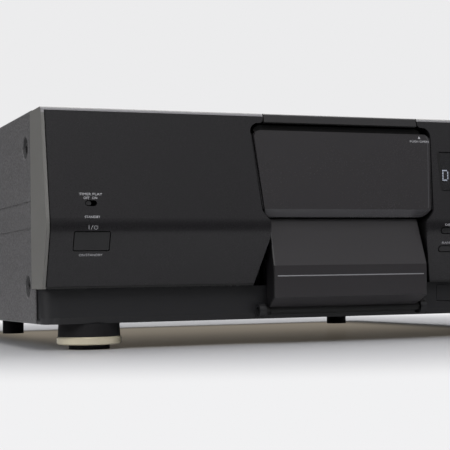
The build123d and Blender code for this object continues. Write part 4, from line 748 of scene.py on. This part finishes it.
# ---------------------------------------------------------------- sub-assemblies
@dataclass
class Case:
    """Sheet-metal case with its feet."""

    shop: Workshop
    screw_head_radius: float = 3.7 * MM
    screw_head_height: float = 1.8 * MM
    cross_width: float = 0.95 * MM
    cross_reach: float = 2.1 * MM
    cross_depth: float = 1.1 * MM
    dimple_depth: float = 2.4 * MM
    side_places: tuple[tuple[float, float], ...] = (
        (-156.0 * MM, 138.1 * MM),
        (175.8 * MM, 138.1 * MM),
        (-160.0 * MM, 43.0 * MM),
        (175.8 * MM, 43.0 * MM),
    )
    rear_across: tuple[float, ...] = (-209.8 * MM, 0.0, 209.8 * MM)
    rear_levels: tuple[float, ...] = (26.6 * MM, 152.3 * MM)

    def build(self) -> None:
        """Dress the case's nodes and add its screws."""
        palette = self.shop.palette
        self.shop.paint_nodes(palette.cover, "top_cover")
        self.shop.paint_nodes(palette.zinc, "chassis_pan", "roller_brackets")
        self.shop.paint_nodes(palette.rear, "rear_panel")
        self.shop.paint_nodes(palette.screw, "case_screws")
        self.shop.paint_nodes(palette.base, "base_strip", "port_flap")
        self.shop.paint_nodes(palette.gold, "foot_rings")
        self.shop.paint_nodes(palette.rubber, "front_feet", "foot_pads", "rear_feet")
        self._screws()

    def _screw_shape(self) -> bpy.types.Object:
        """One domed screw head with a cross recess, standing on the origin."""
        draft = Draft()
        rings, sides = 14, 48
        rows: list[list[bmesh.types.BMVert]] = []
        for ring in range(1, rings + 1):
            radius = self.screw_head_radius * ring / rings
            row = []
            for side in range(sides):
                turn = 2 * pi * side / sides
                x, y = radius * cos(turn), radius * sin(turn)
                row.append(draft.bm.verts.new((x, y, self._head_level(x, y))))
            rows.append(row)
        top = draft.bm.verts.new((0, 0, self._head_level(0, 0)))
        for side in range(sides):
            draft.bm.faces.new((top, rows[0][side], rows[0][(side + 1) % sides]))
        for inner, outer in zip(rows, rows[1:]):
            for side in range(sides):
                after = (side + 1) % sides
                draft.bm.faces.new((inner[side], outer[side], outer[after], inner[after]))
        rim = [draft.bm.verts.new((vert.co.x, vert.co.y, 0)) for vert in rows[-1]]
        for side in range(sides):
            after = (side + 1) % sides
            draft.bm.faces.new((rows[-1][side], rim[side], rim[after], rows[-1][after]))
        draft.bm.faces.new(list(reversed(rim)))
        return draft.finish("screw_head")

    def _head_level(self, x: float, y: float) -> float:
        """Height of the screw head at a point: a dome less its cross recess."""
        reach = sqrt(x * x + y * y) / self.screw_head_radius
        dome = self.screw_head_height * (1 - 0.45 * reach ** 2.4)
        across, along = sorted((abs(x), abs(y)))
        inside = min(1.0, max(0.0, (self.cross_width / 2 - across) / (0.18 * MM) + 0.5))
        inside *= min(1.0, max(0.0, (self.cross_reach - along) / (0.5 * MM)))
        return dome - self.cross_depth * inside * (1 - 0.4 * along / self.cross_reach)

    def _screws(self) -> None:
        """Put a detailed head on each screw of the CAD node."""
        side_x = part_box("top_cover")[1].x - self.dimple_depth
        rear_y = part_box("rear_panel")[1].y
        spots = [
            (Vector((side * side_x, y, z)), Vector((side, 0, 0))) for side in (-1, 1) for y, z in self.side_places
        ]
        spots += [(Vector((x, rear_y, z)), Vector((0, 1, 0))) for x in self.rear_across for z in self.rear_levels]
        mesh = Repeater(Layout.POINTS).mesh(
            self._screw_shape(), self.shop.material(self.shop.palette.screw), carrier_of(spots), Turn=pi, Seed=7
        )
        heads = bpy.data.objects.new("screw_heads", mesh)
        bpy.context.scene.collection.objects.link(heads)
        ride_piece(heads, "case")
        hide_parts("case_screws")


@dataclass
class Front:
    """Moulded front with its face plates, controls and prints."""

    shop: Workshop
    label_height: float = 1.6 * MM
    symbol_height: float = 3.0 * MM
    words: tuple[tuple[str, float, float, float], ...] = (
        ("TIMER PLAY", -189.4 * MM, 102.3 * MM, 1.3),
        ("OFF", -192.4 * MM, 99.8 * MM, 1.0),
        ("ON", -186.8 * MM, 99.8 * MM, 1.0),
        ("STANDBY", -189.0 * MM, 87.2 * MM, 1.05),
        ("ON/STANDBY", -189.2 * MM, 62.4 * MM, 1.1),
        ("DISPLAY", 82.2 * MM, 81.9 * MM, 1.4),
        ("REPEAT", 105.2 * MM, 81.9 * MM, 1.4),
        ("PROGRAM", 128.2 * MM, 81.9 * MM, 1.3),
        ("RANDOM", 82.2 * MM, 69.0 * MM, 1.4),
        ("TIME", 105.2 * MM, 69.0 * MM, 1.4),
        ("CHECK", 128.2 * MM, 69.0 * MM, 1.4),
    )
    dial_spot: Point = (182.0 * MM, -206.26 * MM, 55.1 * MM)
    dial_radius: float = 11.0 * MM
    dial_proud: float = 5.0 * MM
    ribs: int = 40

    def build(self) -> None:
        """Dress the front's nodes and print its labels."""
        palette = self.shop.palette
        self.shop.paint_nodes(palette.frame, "front_bezel")
        self.shop.paint_nodes(palette.face, "face_plate_left", "face_plate_right")
        self.shop.paint_nodes(palette.lintel, "door_lintel")
        self.shop.paint_nodes(palette.key, "power_button", "timer_slider", "jog_dial")
        self.shop.paint_nodes(palette.key, *[name for name in frame["nodes"] if name.startswith("oval_button")])
        self.shop.paint_nodes(palette.inner, "keyboard_socket")
        self.shop.paint_nodes(palette.window, "display_window")
        self.shop.paint_nodes(palette.tube, "display_tube")
        self.shop.paint_nodes(palette.board, "control_board", "switch_board")
        self.shop.paint_nodes(palette.switch, "key_switches")
        self._labels()

    def _labels(self) -> None:
        """Print the words and symbols at the switches."""
        draft = Draft()
        small = self.label_height
        for words, x, z, wide in self.words:
            draft.letters(words, small, FACE.place(x, z) @ Matrix.Diagonal((wide, 1, 1, 1)))
        self._power_symbol(draft, -188.4 * MM, 81.1 * MM)
        piece = draft.finish("face_labels")
        ride_piece(piece, "case", self.shop.material(self.shop.palette.print))

    def _power_symbol(self, draft: Draft, x: float, above: float) -> None:
        """Draw a bar, a stroke and a broken circle with a bar, the usual mark of a power switch."""
        thick = 0.26 * MM
        half = self.symbol_height / 2
        place = FACE.place(x, above)

        def bar(left: float, length: float, turn: float = 0.0, rise: float = 0.0) -> None:
            """Add one straight stroke."""
            spot = Matrix.Translation((left, rise, 0)) @ Matrix.Rotation(turn, 4, "Z")
            draft.block((-thick / 2, -length / 2, 0), (thick / 2, length / 2, PRINT_THICKNESS), 0, place @ spot)

        bar(-3.1 * MM, 2 * half)
        bar(-1.1 * MM, 2.2 * half, radians(-24))
        ring = 1.25 * MM
        steps = 14
        for step in range(steps):
            turn = radians(125 + 290 * (step + 0.5) / steps)
            spot = Matrix.Translation((1.6 * MM + ring * cos(turn), ring * sin(turn), 0))
            spot = spot @ Matrix.Rotation(turn, 4, "Z")
            reach = ring * radians(290) / steps * 0.55
            draft.block((-thick / 2, -reach, 0), (thick / 2, reach, PRINT_THICKNESS), 0, place @ spot)
        bar(1.6 * MM, 1.3 * MM, 0.0, 0.75 * MM)


    def dress_dial(self) -> None:
        """Add fine ribs round the dial and a finger dish on its face."""
        lean = Vector((0, -0.940287, -0.340384))
        right = Vector((1, 0, 0))
        place = Matrix.Translation(self.dial_spot) @ Matrix((right, lean.cross(right), lean)).transposed().to_4x4()
        rib = Draft()
        rib.prism([(-0.26 * MM, -1.7 * MM), (0.26 * MM, -1.7 * MM), (0.26 * MM, 1.7 * MM), (-0.26 * MM, 1.7 * MM)],
                  0.16 * MM, Matrix.Identity(4))
        material = self.shop.material(self.shop.palette.key)
        mesh = Repeater(Layout.RING).mesh(
            rib.finish("dial_rib"), material, Count=self.ribs, Width=self.dial_radius, Turn=0.0, Seed=3
        )
        mesh.transform(place @ Matrix.Translation((0, 0, self.dial_proud / 2 + 0.2 * MM)))
        draft = Draft()
        draft.bm.from_mesh(mesh)
        dish = Matrix.Translation((0, -self.dial_radius * 0.52, self.dial_proud))
        draft.lathe(
            [(0, 0.02 * MM), (2.3 * MM, 0.02 * MM), (2.75 * MM, 0.32 * MM), (3.1 * MM, 0.3 * MM), (3.3 * MM, 0),
             (0, -0.2 * MM)],
            place @ dish,
            32,
        )
        piece = draft.finish("dial_grip")
        ride_piece(piece, "dial", material)


FONT = {
    "D": (30, 17, 17, 17, 17, 17, 30), "I": (14, 4, 4, 4, 4, 4, 14), "S": (15, 16, 16, 14, 1, 1, 30),
    "C": (14, 17, 16, 16, 16, 17, 14), "T": (31, 4, 4, 4, 4, 4, 4), "0": (14, 17, 19, 21, 25, 17, 14),
    "1": (4, 12, 4, 4, 4, 4, 14), "2": (14, 17, 1, 2, 4, 8, 31), ":": (0, 4, 4, 0, 4, 4, 0), " ": (0,) * 7,
}


@dataclass
class Display:
    """Fluorescent display: rows of dots behind a smoked window."""

    shop: Workshop
    words: str = "DISC 001   T01  0:00"
    first_x: float = 77.9 * MM
    side_sight: float = 0.602  # sideways shift per depth, as the photograph's camera sees it
    low_z: float = 116.1 * MM
    dot_pitch: float = 1.2 * MM
    letter_pitch: float = 6.2 * MM
    dot_size: float = 0.78 * MM
    mask_ends: tuple[float, float] = (76.75 * MM, 204.2 * MM)
    mask_middle: float = 122.25 * MM
    mask_width: float = 1.5 * MM
    mask_height: float = 29.0 * MM

    def _dot(self) -> bpy.types.Object:
        """One dot, a small bevelled tile."""
        draft = Draft()
        half = self.dot_size / 2
        draft.prism([(-half, -half), (half, -half), (half, half), (-half, half)], 0.05 * MM, Matrix.Identity(4))
        return draft.finish("dot")

    def build(self) -> None:
        """Set the lit and the unlit dots on the tube."""
        palette = self.shop.palette
        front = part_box("display_tube")[0].y
        start = self.first_x + (front - FACE.depth(self.low_z)) * self.side_sight
        lit, unlit = [], []
        columns = int((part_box("display_tube")[1].x - start) / self.letter_pitch)
        for number, letter in enumerate(self.words.ljust(columns)[:columns]):
            for row, bits in enumerate(FONT[letter]):
                for column in range(5):
                    x = start + number * self.letter_pitch + (column + 0.5) * self.dot_pitch * 0.87
                    z = self.low_z + (6.5 - row) * self.dot_pitch
                    spot = Vector((x, front - 0.06 * MM, z))
                    (lit if bits >> (4 - column) & 1 else unlit).append((spot, Vector((0, -1, 0))))
        for name, spots, finish in (("lit_dots", lit, palette.lit), ("unlit_dots", unlit, palette.unlit)):
            mesh = Repeater(Layout.POINTS).mesh(
                self._dot(), self.shop.material(finish), carrier_of(spots), Turn=0.0, Seed=1
            )
            piece = bpy.data.objects.new(name, mesh)
            bpy.context.scene.collection.objects.link(piece)
            ride_piece(piece, "case")
        self._mask()

    def _mask(self) -> None:
        """Blacken the two ends of the window, as its printed mask does."""
        draft = Draft()
        across, up = self.mask_width / 2, self.mask_height / 2
        outline = [(-across, -up), (across, -up), (across, up), (-across, up)]
        for x in self.mask_ends:
            draft.prism(outline, PRINT_THICKNESS, FACE.place(x, self.mask_middle))
        ride_piece(draft.finish("display_mask"), "case", self.shop.material(self.shop.palette.inner))


@dataclass
class Door:
    """Drop-front door with its window, chin and printed marks."""

    shop: Workshop
    line_half: float = 57.6 * MM
    line_z: float = 47.4 * MM
    line_height: float = 0.7 * MM
    line_y: float = -214.85 * MM
    window_half: tuple[float, float] = (70.2 * MM, 65.2 * MM)
    window_levels: tuple[float, float] = (149.2 * MM, 88.4 * MM)
    window_low_y: float = -213.0 * MM
    window_lean: float = 0.1304
    bevel_z: float = 93.8 * MM
    bevel_lean: float = 0.926
    rim_inset: float = 1.7 * MM
    rim_width: float = 0.3 * MM
    lip_ends: tuple[tuple[float, float], ...] = ((71.3 * MM, 147.0 * MM), (66.7 * MM, 94.0 * MM))
    lip_width: float = 0.45 * MM
    lip_setback: float = 0.5 * MM
    lip_depth: float = 1.2 * MM

    def build(self) -> None:
        """Dress the door and add its line and marks."""
        palette = self.shop.palette
        self.shop.paint_nodes(palette.door_glass, "door_window")
        self.shop.paint_nodes(palette.chin, "door_chin")
        self.shop.paint_nodes(palette.inner, "door_liner")
        self._line()
        self._rim_highlight()
        self._lips()
        self._marks()

    def _line(self) -> None:
        """Lay a thin bright line across the chin."""
        draft = Draft()
        half = self.line_height / 2
        draft.block(
            (-self.line_half, self.line_y - 0.1 * MM, self.line_z - half),
            (self.line_half, self.line_y + 0.15 * MM, self.line_z + half),
            0.08 * MM,
        )
        ride_piece(draft.finish("chin_line"), "door", self.shop.material(self.shop.palette.silver))

    def _glass_y(self, z: float) -> float:
        """Y of the window's front at a height: a leaning plane above a bevel."""
        low, edge = self.bevel_z, self.window_low_y
        if z >= low:
            return edge + (z - low) * self.window_lean
        return edge + (low - z) * self.bevel_lean

    def _rim_highlight(self) -> None:
        """Draw a painted highlight: a fine bright line along the window's cut edge down its right side."""
        draft = Draft()
        half_top, half_low = self.window_half
        high, low = self.window_levels
        corners = (
            (Vector((half_top - 1.6 * MM, high)), Vector((half_top, high)), Vector((half_top - 0.4 * MM, high - 5 * MM))),
            (Vector((half_low + 0.7 * MM, low + 8 * MM)), Vector((half_low, low)), Vector((half_low - 8 * MM, low))),
        )
        line = []
        for start, corner, end in corners:
            for step in range(9):
                share = step / 8
                line.append(start * (1 - share) ** 2 + corner * 2 * share * (1 - share) + end * share**2)
        inset = [spot + Vector((-self.rim_inset, -self.rim_inset if spot.y > low + 30 * MM else self.rim_inset))
                 for spot in line]
        rows = []
        for before, spot, after in zip([inset[0]] + inset, inset, inset[1:] + [inset[-1]]):
            along = (after - before).normalized()
            side = Vector((along.y, -along.x)) * self.rim_width / 2
            rows.append([
                draft.bm.verts.new((edge.x, self._glass_y(edge.y) - lift, edge.y))
                for edge, lift in ((spot + side, 0.0), (spot + side, PRINT_THICKNESS), (spot - side, PRINT_THICKNESS),
                                   (spot - side, 0.0))
            ])
        for first, second in zip(rows, rows[1:]):
            for corner in range(4):
                after = (corner + 1) % 4
                draft.bm.faces.new((first[corner], first[after], second[after], second[corner]))
        draft.bm.faces.new(rows[0])
        draft.bm.faces.new(list(reversed(rows[-1])))
        bmesh.ops.recalc_face_normals(draft.bm, faces=draft.bm.faces[:])
        ride_piece(draft.finish("window_rim"), "door", self.shop.material(self.shop.palette.rim))

    def _lips(self) -> None:
        """Stand a thin lip in the gap on either side of the window."""
        draft = Draft()
        half = self.lip_width / 2
        for side in (-1, 1):
            rows = []
            for across, height in self.lip_ends:
                front = FACE.depth(height) + self.lip_setback
                rows.append([
                    draft.bm.verts.new((side * across + edge, deep, height))
                    for edge, deep in ((-half, front), (half, front), (half, front + self.lip_depth),
                                       (-half, front + self.lip_depth))
                ])
            for corner in range(4):
                after = (corner + 1) % 4
                draft.bm.faces.new((rows[0][corner], rows[0][after], rows[1][after], rows[1][corner]))
            draft.bm.faces.new(rows[0])
            draft.bm.faces.new(rows[1])
        bmesh.ops.recalc_face_normals(draft.bm, faces=draft.bm.faces[:])
        ride_piece(draft.finish("door_lips"), "case", self.shop.material(self.shop.palette.face))

    def _marks(self) -> None:
        """Print the mark that shows where to push."""
        draft = Draft()
        up = Vector((0, 0.1304, 1)).normalized()
        right = Vector((1, 0, 0))
        turn = Matrix((right, up, right.cross(up))).transposed().to_4x4()

        def spot(z: float) -> Matrix:
            """Place on the window's front at a height."""
            y = (-205.8 + (z - 149.2) * 0.1304) * MM
            return Matrix.Translation(Vector((61.2 * MM, y - 0.03 * MM, z * MM))) @ turn

        draft.prism([(-1.1 * MM, -0.9 * MM), (1.1 * MM, -0.9 * MM), (0, 1.1 * MM)], PRINT_THICKNESS, spot(146.9))
        draft.letters("PUSH OPEN", 1.5 * MM, spot(143.2) @ Matrix.Diagonal((1.4, 1, 1, 1)))
        ride_piece(
            draft.finish("door_marks"), "door", self.shop.material(self.shop.palette.print)
        )


@dataclass
class Mechanism:
    """Ring of slots and the player in its middle."""

    shop: Workshop
    centre_y: float = 4.6 * MM
    number_radius: float = 143.0 * MM
    numbers: int = 20
    number_height: float = 4.2 * MM

    def build(self) -> None:
        """Dress the ring, its drive and the player."""
        palette = self.shop.palette
        self.shop.paint_nodes(palette.inner, "carousel_floor", "slot_dividers", "player_base", "clamp_arm",
                              "loader_arm", "latch_case", "latch_plunger")
        self.shop.paint_nodes(palette.gear, "ring_gear", "drive_pulley", "cam_gear", "load_pinion",
                              "ring_roller_1", "ring_roller_2", "ring_roller_3")
        self.shop.paint_nodes(palette.motor, "carousel_motor", "spindle_motor", "load_motor", "motor_pulley")
        self.shop.paint_nodes(palette.belt, "drive_belt")
        self.shop.paint_nodes(palette.zinc, "player_frame")
        self.shop.paint_nodes(palette.inner, "spindle_turntable", "pickup_sled")
        self.shop.paint_nodes(palette.core, "transformer")
        self.shop.paint_nodes(palette.board, "main_board")
        self._numbers()

    def _numbers(self) -> None:
        """Print slot numbers round the ring's floor."""
        draft = Draft()
        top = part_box("carousel_floor")[1].z
        for number in range(self.numbers):
            turn = 2 * pi * number / self.numbers
            spot = Matrix.Translation((
                self.number_radius * sin(turn),
                self.centre_y - self.number_radius * cos(turn),
                top + 0.01 * MM,
            ))
            draft.letters(str(number * 10 + 1), self.number_height, spot @ Matrix.Rotation(turn, 4, "Z"))
        ride_piece(
            draft.finish("slot_numbers"), "carousel", self.shop.material(self.shop.palette.print)
        )


@dataclass
class Rear:
    """Jacks, inlet and louvres on the rear panel."""

    shop: Workshop
    jack_z: float = 87.6 * MM
    output_x: tuple[float, float] = (-124.0 * MM, -106.0 * MM)
    control_x: tuple[float, float] = (-68.0 * MM, -52.0 * MM)
    inlet_x: float = -178.0 * MM
    inlet_z: float = 67.6 * MM
    louvre_length: float = 15.0 * MM
    louvre_height: float = 1.7 * MM
    louvre_pitch: tuple[float, float] = (19.0 * MM, 5.2 * MM)
    louvre_counts: tuple[int, int] = (7, 9)
    louvre_middle: tuple[float, float] = (96.0 * MM, 96.0 * MM)

    def build(self) -> None:
        """Dress the rear's nodes and add its details."""
        palette = self.shop.palette
        self.shop.paint_nodes(palette.nickel, "rca_jacks")
        self.shop.paint_nodes(palette.jack, "control_jacks", "ac_inlet")
        self._inserts()
        self._louvres()
        self._labels()

    def _backwards(self, x: float, z: float, y: float) -> Matrix:
        """Place on the rear whose Z axis points backwards and whose X axis is the viewer's right."""
        turn = Matrix((Vector((-1, 0, 0)), Vector((0, 0, 1)), Vector((0, 1, 0)))).transposed().to_4x4()
        return Matrix.Translation((x, y, z)) @ turn

    def _inserts(self) -> None:
        """Put a coloured insulator into each output jack."""
        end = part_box("rca_jacks")[1].y
        palette = self.shop.palette
        for name, x, finish in (("insert_right", self.output_x[0], palette.red),
                                ("insert_left", self.output_x[1], palette.white)):
            draft = Draft()
            profile = [(1.75 * MM, 0), (3.35 * MM, 0), (3.35 * MM, -0.05 * MM), (1.75 * MM, -0.05 * MM), (1.75 * MM, 0)]
            draft.lathe([(r, h - 0.0 * MM) for r, h in profile], self._backwards(x, self.jack_z, end + 0.0 * MM), 40)
            ride_piece(draft.finish(name), "case", self.shop.material(finish))

    def _louvre(self) -> bpy.types.Object:
        """One pressed louvre: a hooded bulge that opens downwards."""
        draft = Draft()
        half, tall = self.louvre_length / 2, self.louvre_height
        outline = slot_outline(self.louvre_length, tall, 6)
        made = draft.bm
        low = [made.verts.new((x, y, 0)) for x, y in outline]
        hood = [made.verts.new((x * 0.93, y * 0.55 - tall * 0.18, 1.0 * MM)) for x, y in outline]
        count = len(low)
        for corner in range(count):
            after = (corner + 1) % count
            made.faces.new((low[corner], low[after], hood[after], hood[corner]))
        made.faces.new(hood)
        made.faces.new(list(reversed(low)))
        return draft.finish("louvre", 50)

    def _louvres(self) -> None:
        """Press two fields of louvres into the panel."""
        across, down = self.louvre_counts
        shape = self._louvre()
        mesh = Repeater(Layout.GRID).mesh(
            shape, self.shop.material(self.shop.palette.rear),
            Count=across, Rows=down, Width=(across - 1) * self.louvre_pitch[0],
            Height=(down - 1) * self.louvre_pitch[1], Turn=0.0, Seed=5,
        )
        mesh.transform(self._backwards(self.louvre_middle[0], self.louvre_middle[1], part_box("rear_panel")[1].y))
        piece = bpy.data.objects.new("rear_louvres", mesh)
        bpy.context.scene.collection.objects.link(piece)
        ride_piece(piece, "case")

    def _labels(self) -> None:
        """Print plain words at the jacks."""
        draft = Draft()
        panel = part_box("rear_panel")[1].y + 0.02 * MM
        middle = sum(self.output_x) / 2
        words = (
            ("LINE OUT", middle, self.jack_z + 13 * MM, 2.4 * MM), ("R", self.output_x[0], self.jack_z + 8 * MM, 2.4 * MM),
            ("L", self.output_x[1], self.jack_z + 8 * MM, 2.4 * MM),
            ("CONTROL", sum(self.control_x) / 2, self.jack_z + 13 * MM, 2.4 * MM),
            ("IN", self.control_x[0], self.jack_z + 8 * MM, 2.0 * MM),
            ("OUT", self.control_x[1], self.jack_z + 8 * MM, 2.0 * MM),
            ("AC IN", self.inlet_x, self.inlet_z + 17 * MM, 2.6 * MM),
        )
        for text, x, z, height in words:
            draft.letters(text, height, self._backwards(x, z, panel))
        for x in (self.output_x[0] - 11 * MM, self.output_x[1] + 11 * MM):
            draft.block((x - 0.15 * MM, panel, self.jack_z - 8 * MM), (x + 0.15 * MM, panel + 0.03 * MM, self.jack_z + 11 * MM))
        ride_piece(draft.finish("rear_labels"), "case", self.shop.material(self.shop.palette.print))


# ---------------------------------------------------------------- studio
@dataclass
class Studio:
    """Pale glossy floor with painted shade and glow under the case, pale backdrop, soft lamps and the camera."""

    floor_tone: tuple[float, float, float, float] = srgb(186, 186, 188)
    # painted warm shade under the case, seen only by the camera
    painted_under_tone: tuple[float, float, float, float] = srgb(152, 143, 130)
    backdrop_tone: tuple[float, float, float, float] = srgb(236, 236, 237)
    room_tone: tuple[float, float, float, float] = (0.03, 0.03, 0.031, 1.0)
    floor_reach: float = 4.0
    fade: tuple[float, float] = (0.30, 0.55)          # from the middle, where the floor turns into the backdrop
    painted_under_edge: tuple[float, float] = (0.15, 0.21)    # where the warm tone below the case ends
    camera_place: Point = (-0.421803, -1.039738, 0.045247)
    yaw: float = 21.546
    pitch: float = 2.41
    roll: float = -0.99
    lens: float = 104.46

    def build(self) -> None:
        """Make the floor, the world, the lamps and the camera."""
        self._floor()
        self._world()
        self._lamps()
        self._camera()

    def _floor(self) -> None:
        """Lay the pale floor, which turns into the backdrop all round."""
        reach = self.floor_reach
        draft = Draft()
        draft.block((-reach, -reach, -0.6 * MM), (reach, reach, 0.0), 0.2 * MM)
        floor = draft.finish("studio_floor")
        material = bpy.data.materials.new("floor_sheet")
        material.use_nodes = True
        graph = Graph(material.node_tree)
        place = graph.node("ShaderNodeTexCoord").outputs["Object"]
        noise = Signal(graph, graph.node("ShaderNodeTexNoise", {}, {"Vector": place, "Scale": 40.0}).outputs[0])
        apart = graph.node("ShaderNodeSeparateXYZ", {}, {0: place}).outputs
        across, deep = Signal(graph, apart[0]), Signal(graph, apart[1])
        wide, long = across * across, deep * deep
        seen = Signal(graph, graph.node("ShaderNodeLightPath").outputs["Is Camera Ray"])
        low, high = (edge**2 for edge in self.painted_under_edge)
        # painted shade under the case: a warm tone, seen only by the camera
        under = (1 - wide.above(low, high)) * (1 - long.above(low, high)) * seen
        outside = (wide + long).above(self.fade[0] ** 2, self.fade[1] ** 2)
        far = outside * seen
        black = (0.0, 0.0, 0.0, 1.0)
        # painted glow under the case, seen only by the camera, that lifts its shadow and grows brighter toward the back
        dim, bright = (tuple(part * share for part in self.painted_under_tone[:3]) + (1.0,) for share in (0.2, 0.8))
        glow = graph.blend(deep.above(-0.17, 0.15), dim, bright)
        tone = graph.blend(under, self.floor_tone, self.painted_under_tone)
        matt = graph.node("ShaderNodeBsdfPrincipled", {}, {
            "Base Color": graph.blend(outside, tone, self.room_tone),
            "Roughness": noise * 0.04 + 0.5,
            "Specular IOR Level": 0.0,
            "Emission Color": graph.blend(far, graph.blend(under, black, glow), self.backdrop_tone),
            "Emission Strength": 1.0,
        })
        gloss = graph.node("ShaderNodeBsdfGlossy", {}, {"Color": (0.8, 0.8, 0.8, 1), "Roughness": 0.12})
        both = graph.node("ShaderNodeMixShader", {}, {0: (1 - far) * 0.16, 1: matt.outputs[0], 2: gloss.outputs[0]})
        graph.node("ShaderNodeOutputMaterial", {}, {"Surface": both.outputs[0]})
        floor.data.materials.append(material)

    def _world(self) -> None:
        """Surround the scene with an even pale tone."""
        world = bpy.data.worlds.new("studio")
        bpy.context.scene.world = world
        world.use_nodes = True
        graph = Graph(world.node_tree)
        seen = graph.node("ShaderNodeLightPath").outputs["Is Camera Ray"]
        way = graph.node("ShaderNodeTexCoord").outputs["Generated"]
        height = Signal(graph, graph.node("ShaderNodeSeparateXYZ", {}, {0: way}).outputs[2])
        room = graph.blend(height.above(0.07, 0.44), (0.04, 0.04, 0.042, 1), (0.44, 0.44, 0.45, 1))
        plain = graph.node("ShaderNodeBackground", {}, {"Color": room, "Strength": 1.0})
        pale = graph.node("ShaderNodeBackground", {}, {"Color": self.backdrop_tone, "Strength": 1.0})
        both = graph.node("ShaderNodeMixShader", {}, {0: seen, 1: plain.outputs[0], 2: pale.outputs[0]})
        graph.node("ShaderNodeOutputWorld", {}, {"Surface": both.outputs[0]})

    def _lamps(self) -> None:
        """Hang three soft lamps."""
        for name, spot, aim, size, power in (
            ("lamp_above", (0.45, 0.6, 1.7), (0, 0, 0), 1.8, 32.0),
            ("lamp_left", (-1.9, -0.5, 0.9), (-0.1, 0, 0.1), 1.0, 12.0),
            ("lamp_front", (-0.5, -1.6, 1.9), (0, -0.2, 0.0), 1.4, 23.0),
        ):
            light = bpy.data.lights.new(name, "AREA")
            light.shape, light.size, light.energy = "SQUARE", size, power
            lamp = bpy.data.objects.new(name, light)
            bpy.context.scene.collection.objects.link(lamp)
            way = Vector(aim) - Vector(spot)
            lamp.matrix_world = Matrix.Translation(spot) @ way.to_track_quat("-Z", "Y").to_matrix().to_4x4()

    def _camera(self) -> None:
        """Stand the camera where the photograph was taken."""
        yaw, pitch, roll = radians(self.yaw), radians(self.pitch), radians(self.roll)
        ahead = Vector((sin(yaw) * cos(pitch), cos(yaw) * cos(pitch), sin(pitch)))
        right = Vector((cos(yaw), -sin(yaw), 0))
        up = right.cross(ahead)
        rolled = right * cos(roll) + up * sin(roll)
        upright = up * cos(roll) - right * sin(roll)
        turn = Matrix((rolled, upright, -ahead)).transposed().to_4x4()
        data = bpy.data.cameras.new("camera")
        data.lens, data.sensor_width, data.clip_start = self.lens, 36.0, 0.01
        camera = bpy.data.objects.new("camera", data)
        bpy.context.scene.collection.objects.link(camera)
        camera.matrix_world = Matrix.Translation(self.camera_place) @ turn
        bpy.context.scene.camera = camera


def main() -> None:
    """Build the whole scene."""
    logging.basicConfig(level=logging.INFO, format="%(name)s: %(message)s")
    bpy.context.scene.view_settings.view_transform = "Standard"
    shop = Workshop(Palette())
    Case(shop).build()
    front = Front(shop)
    front.build()
    front.dress_dial()
    Display(shop).build()
    Door(shop).build()
    Mechanism(shop).build()
    Rear(shop).build()
    Studio().build()


if __name__ == "__main__":
    main()
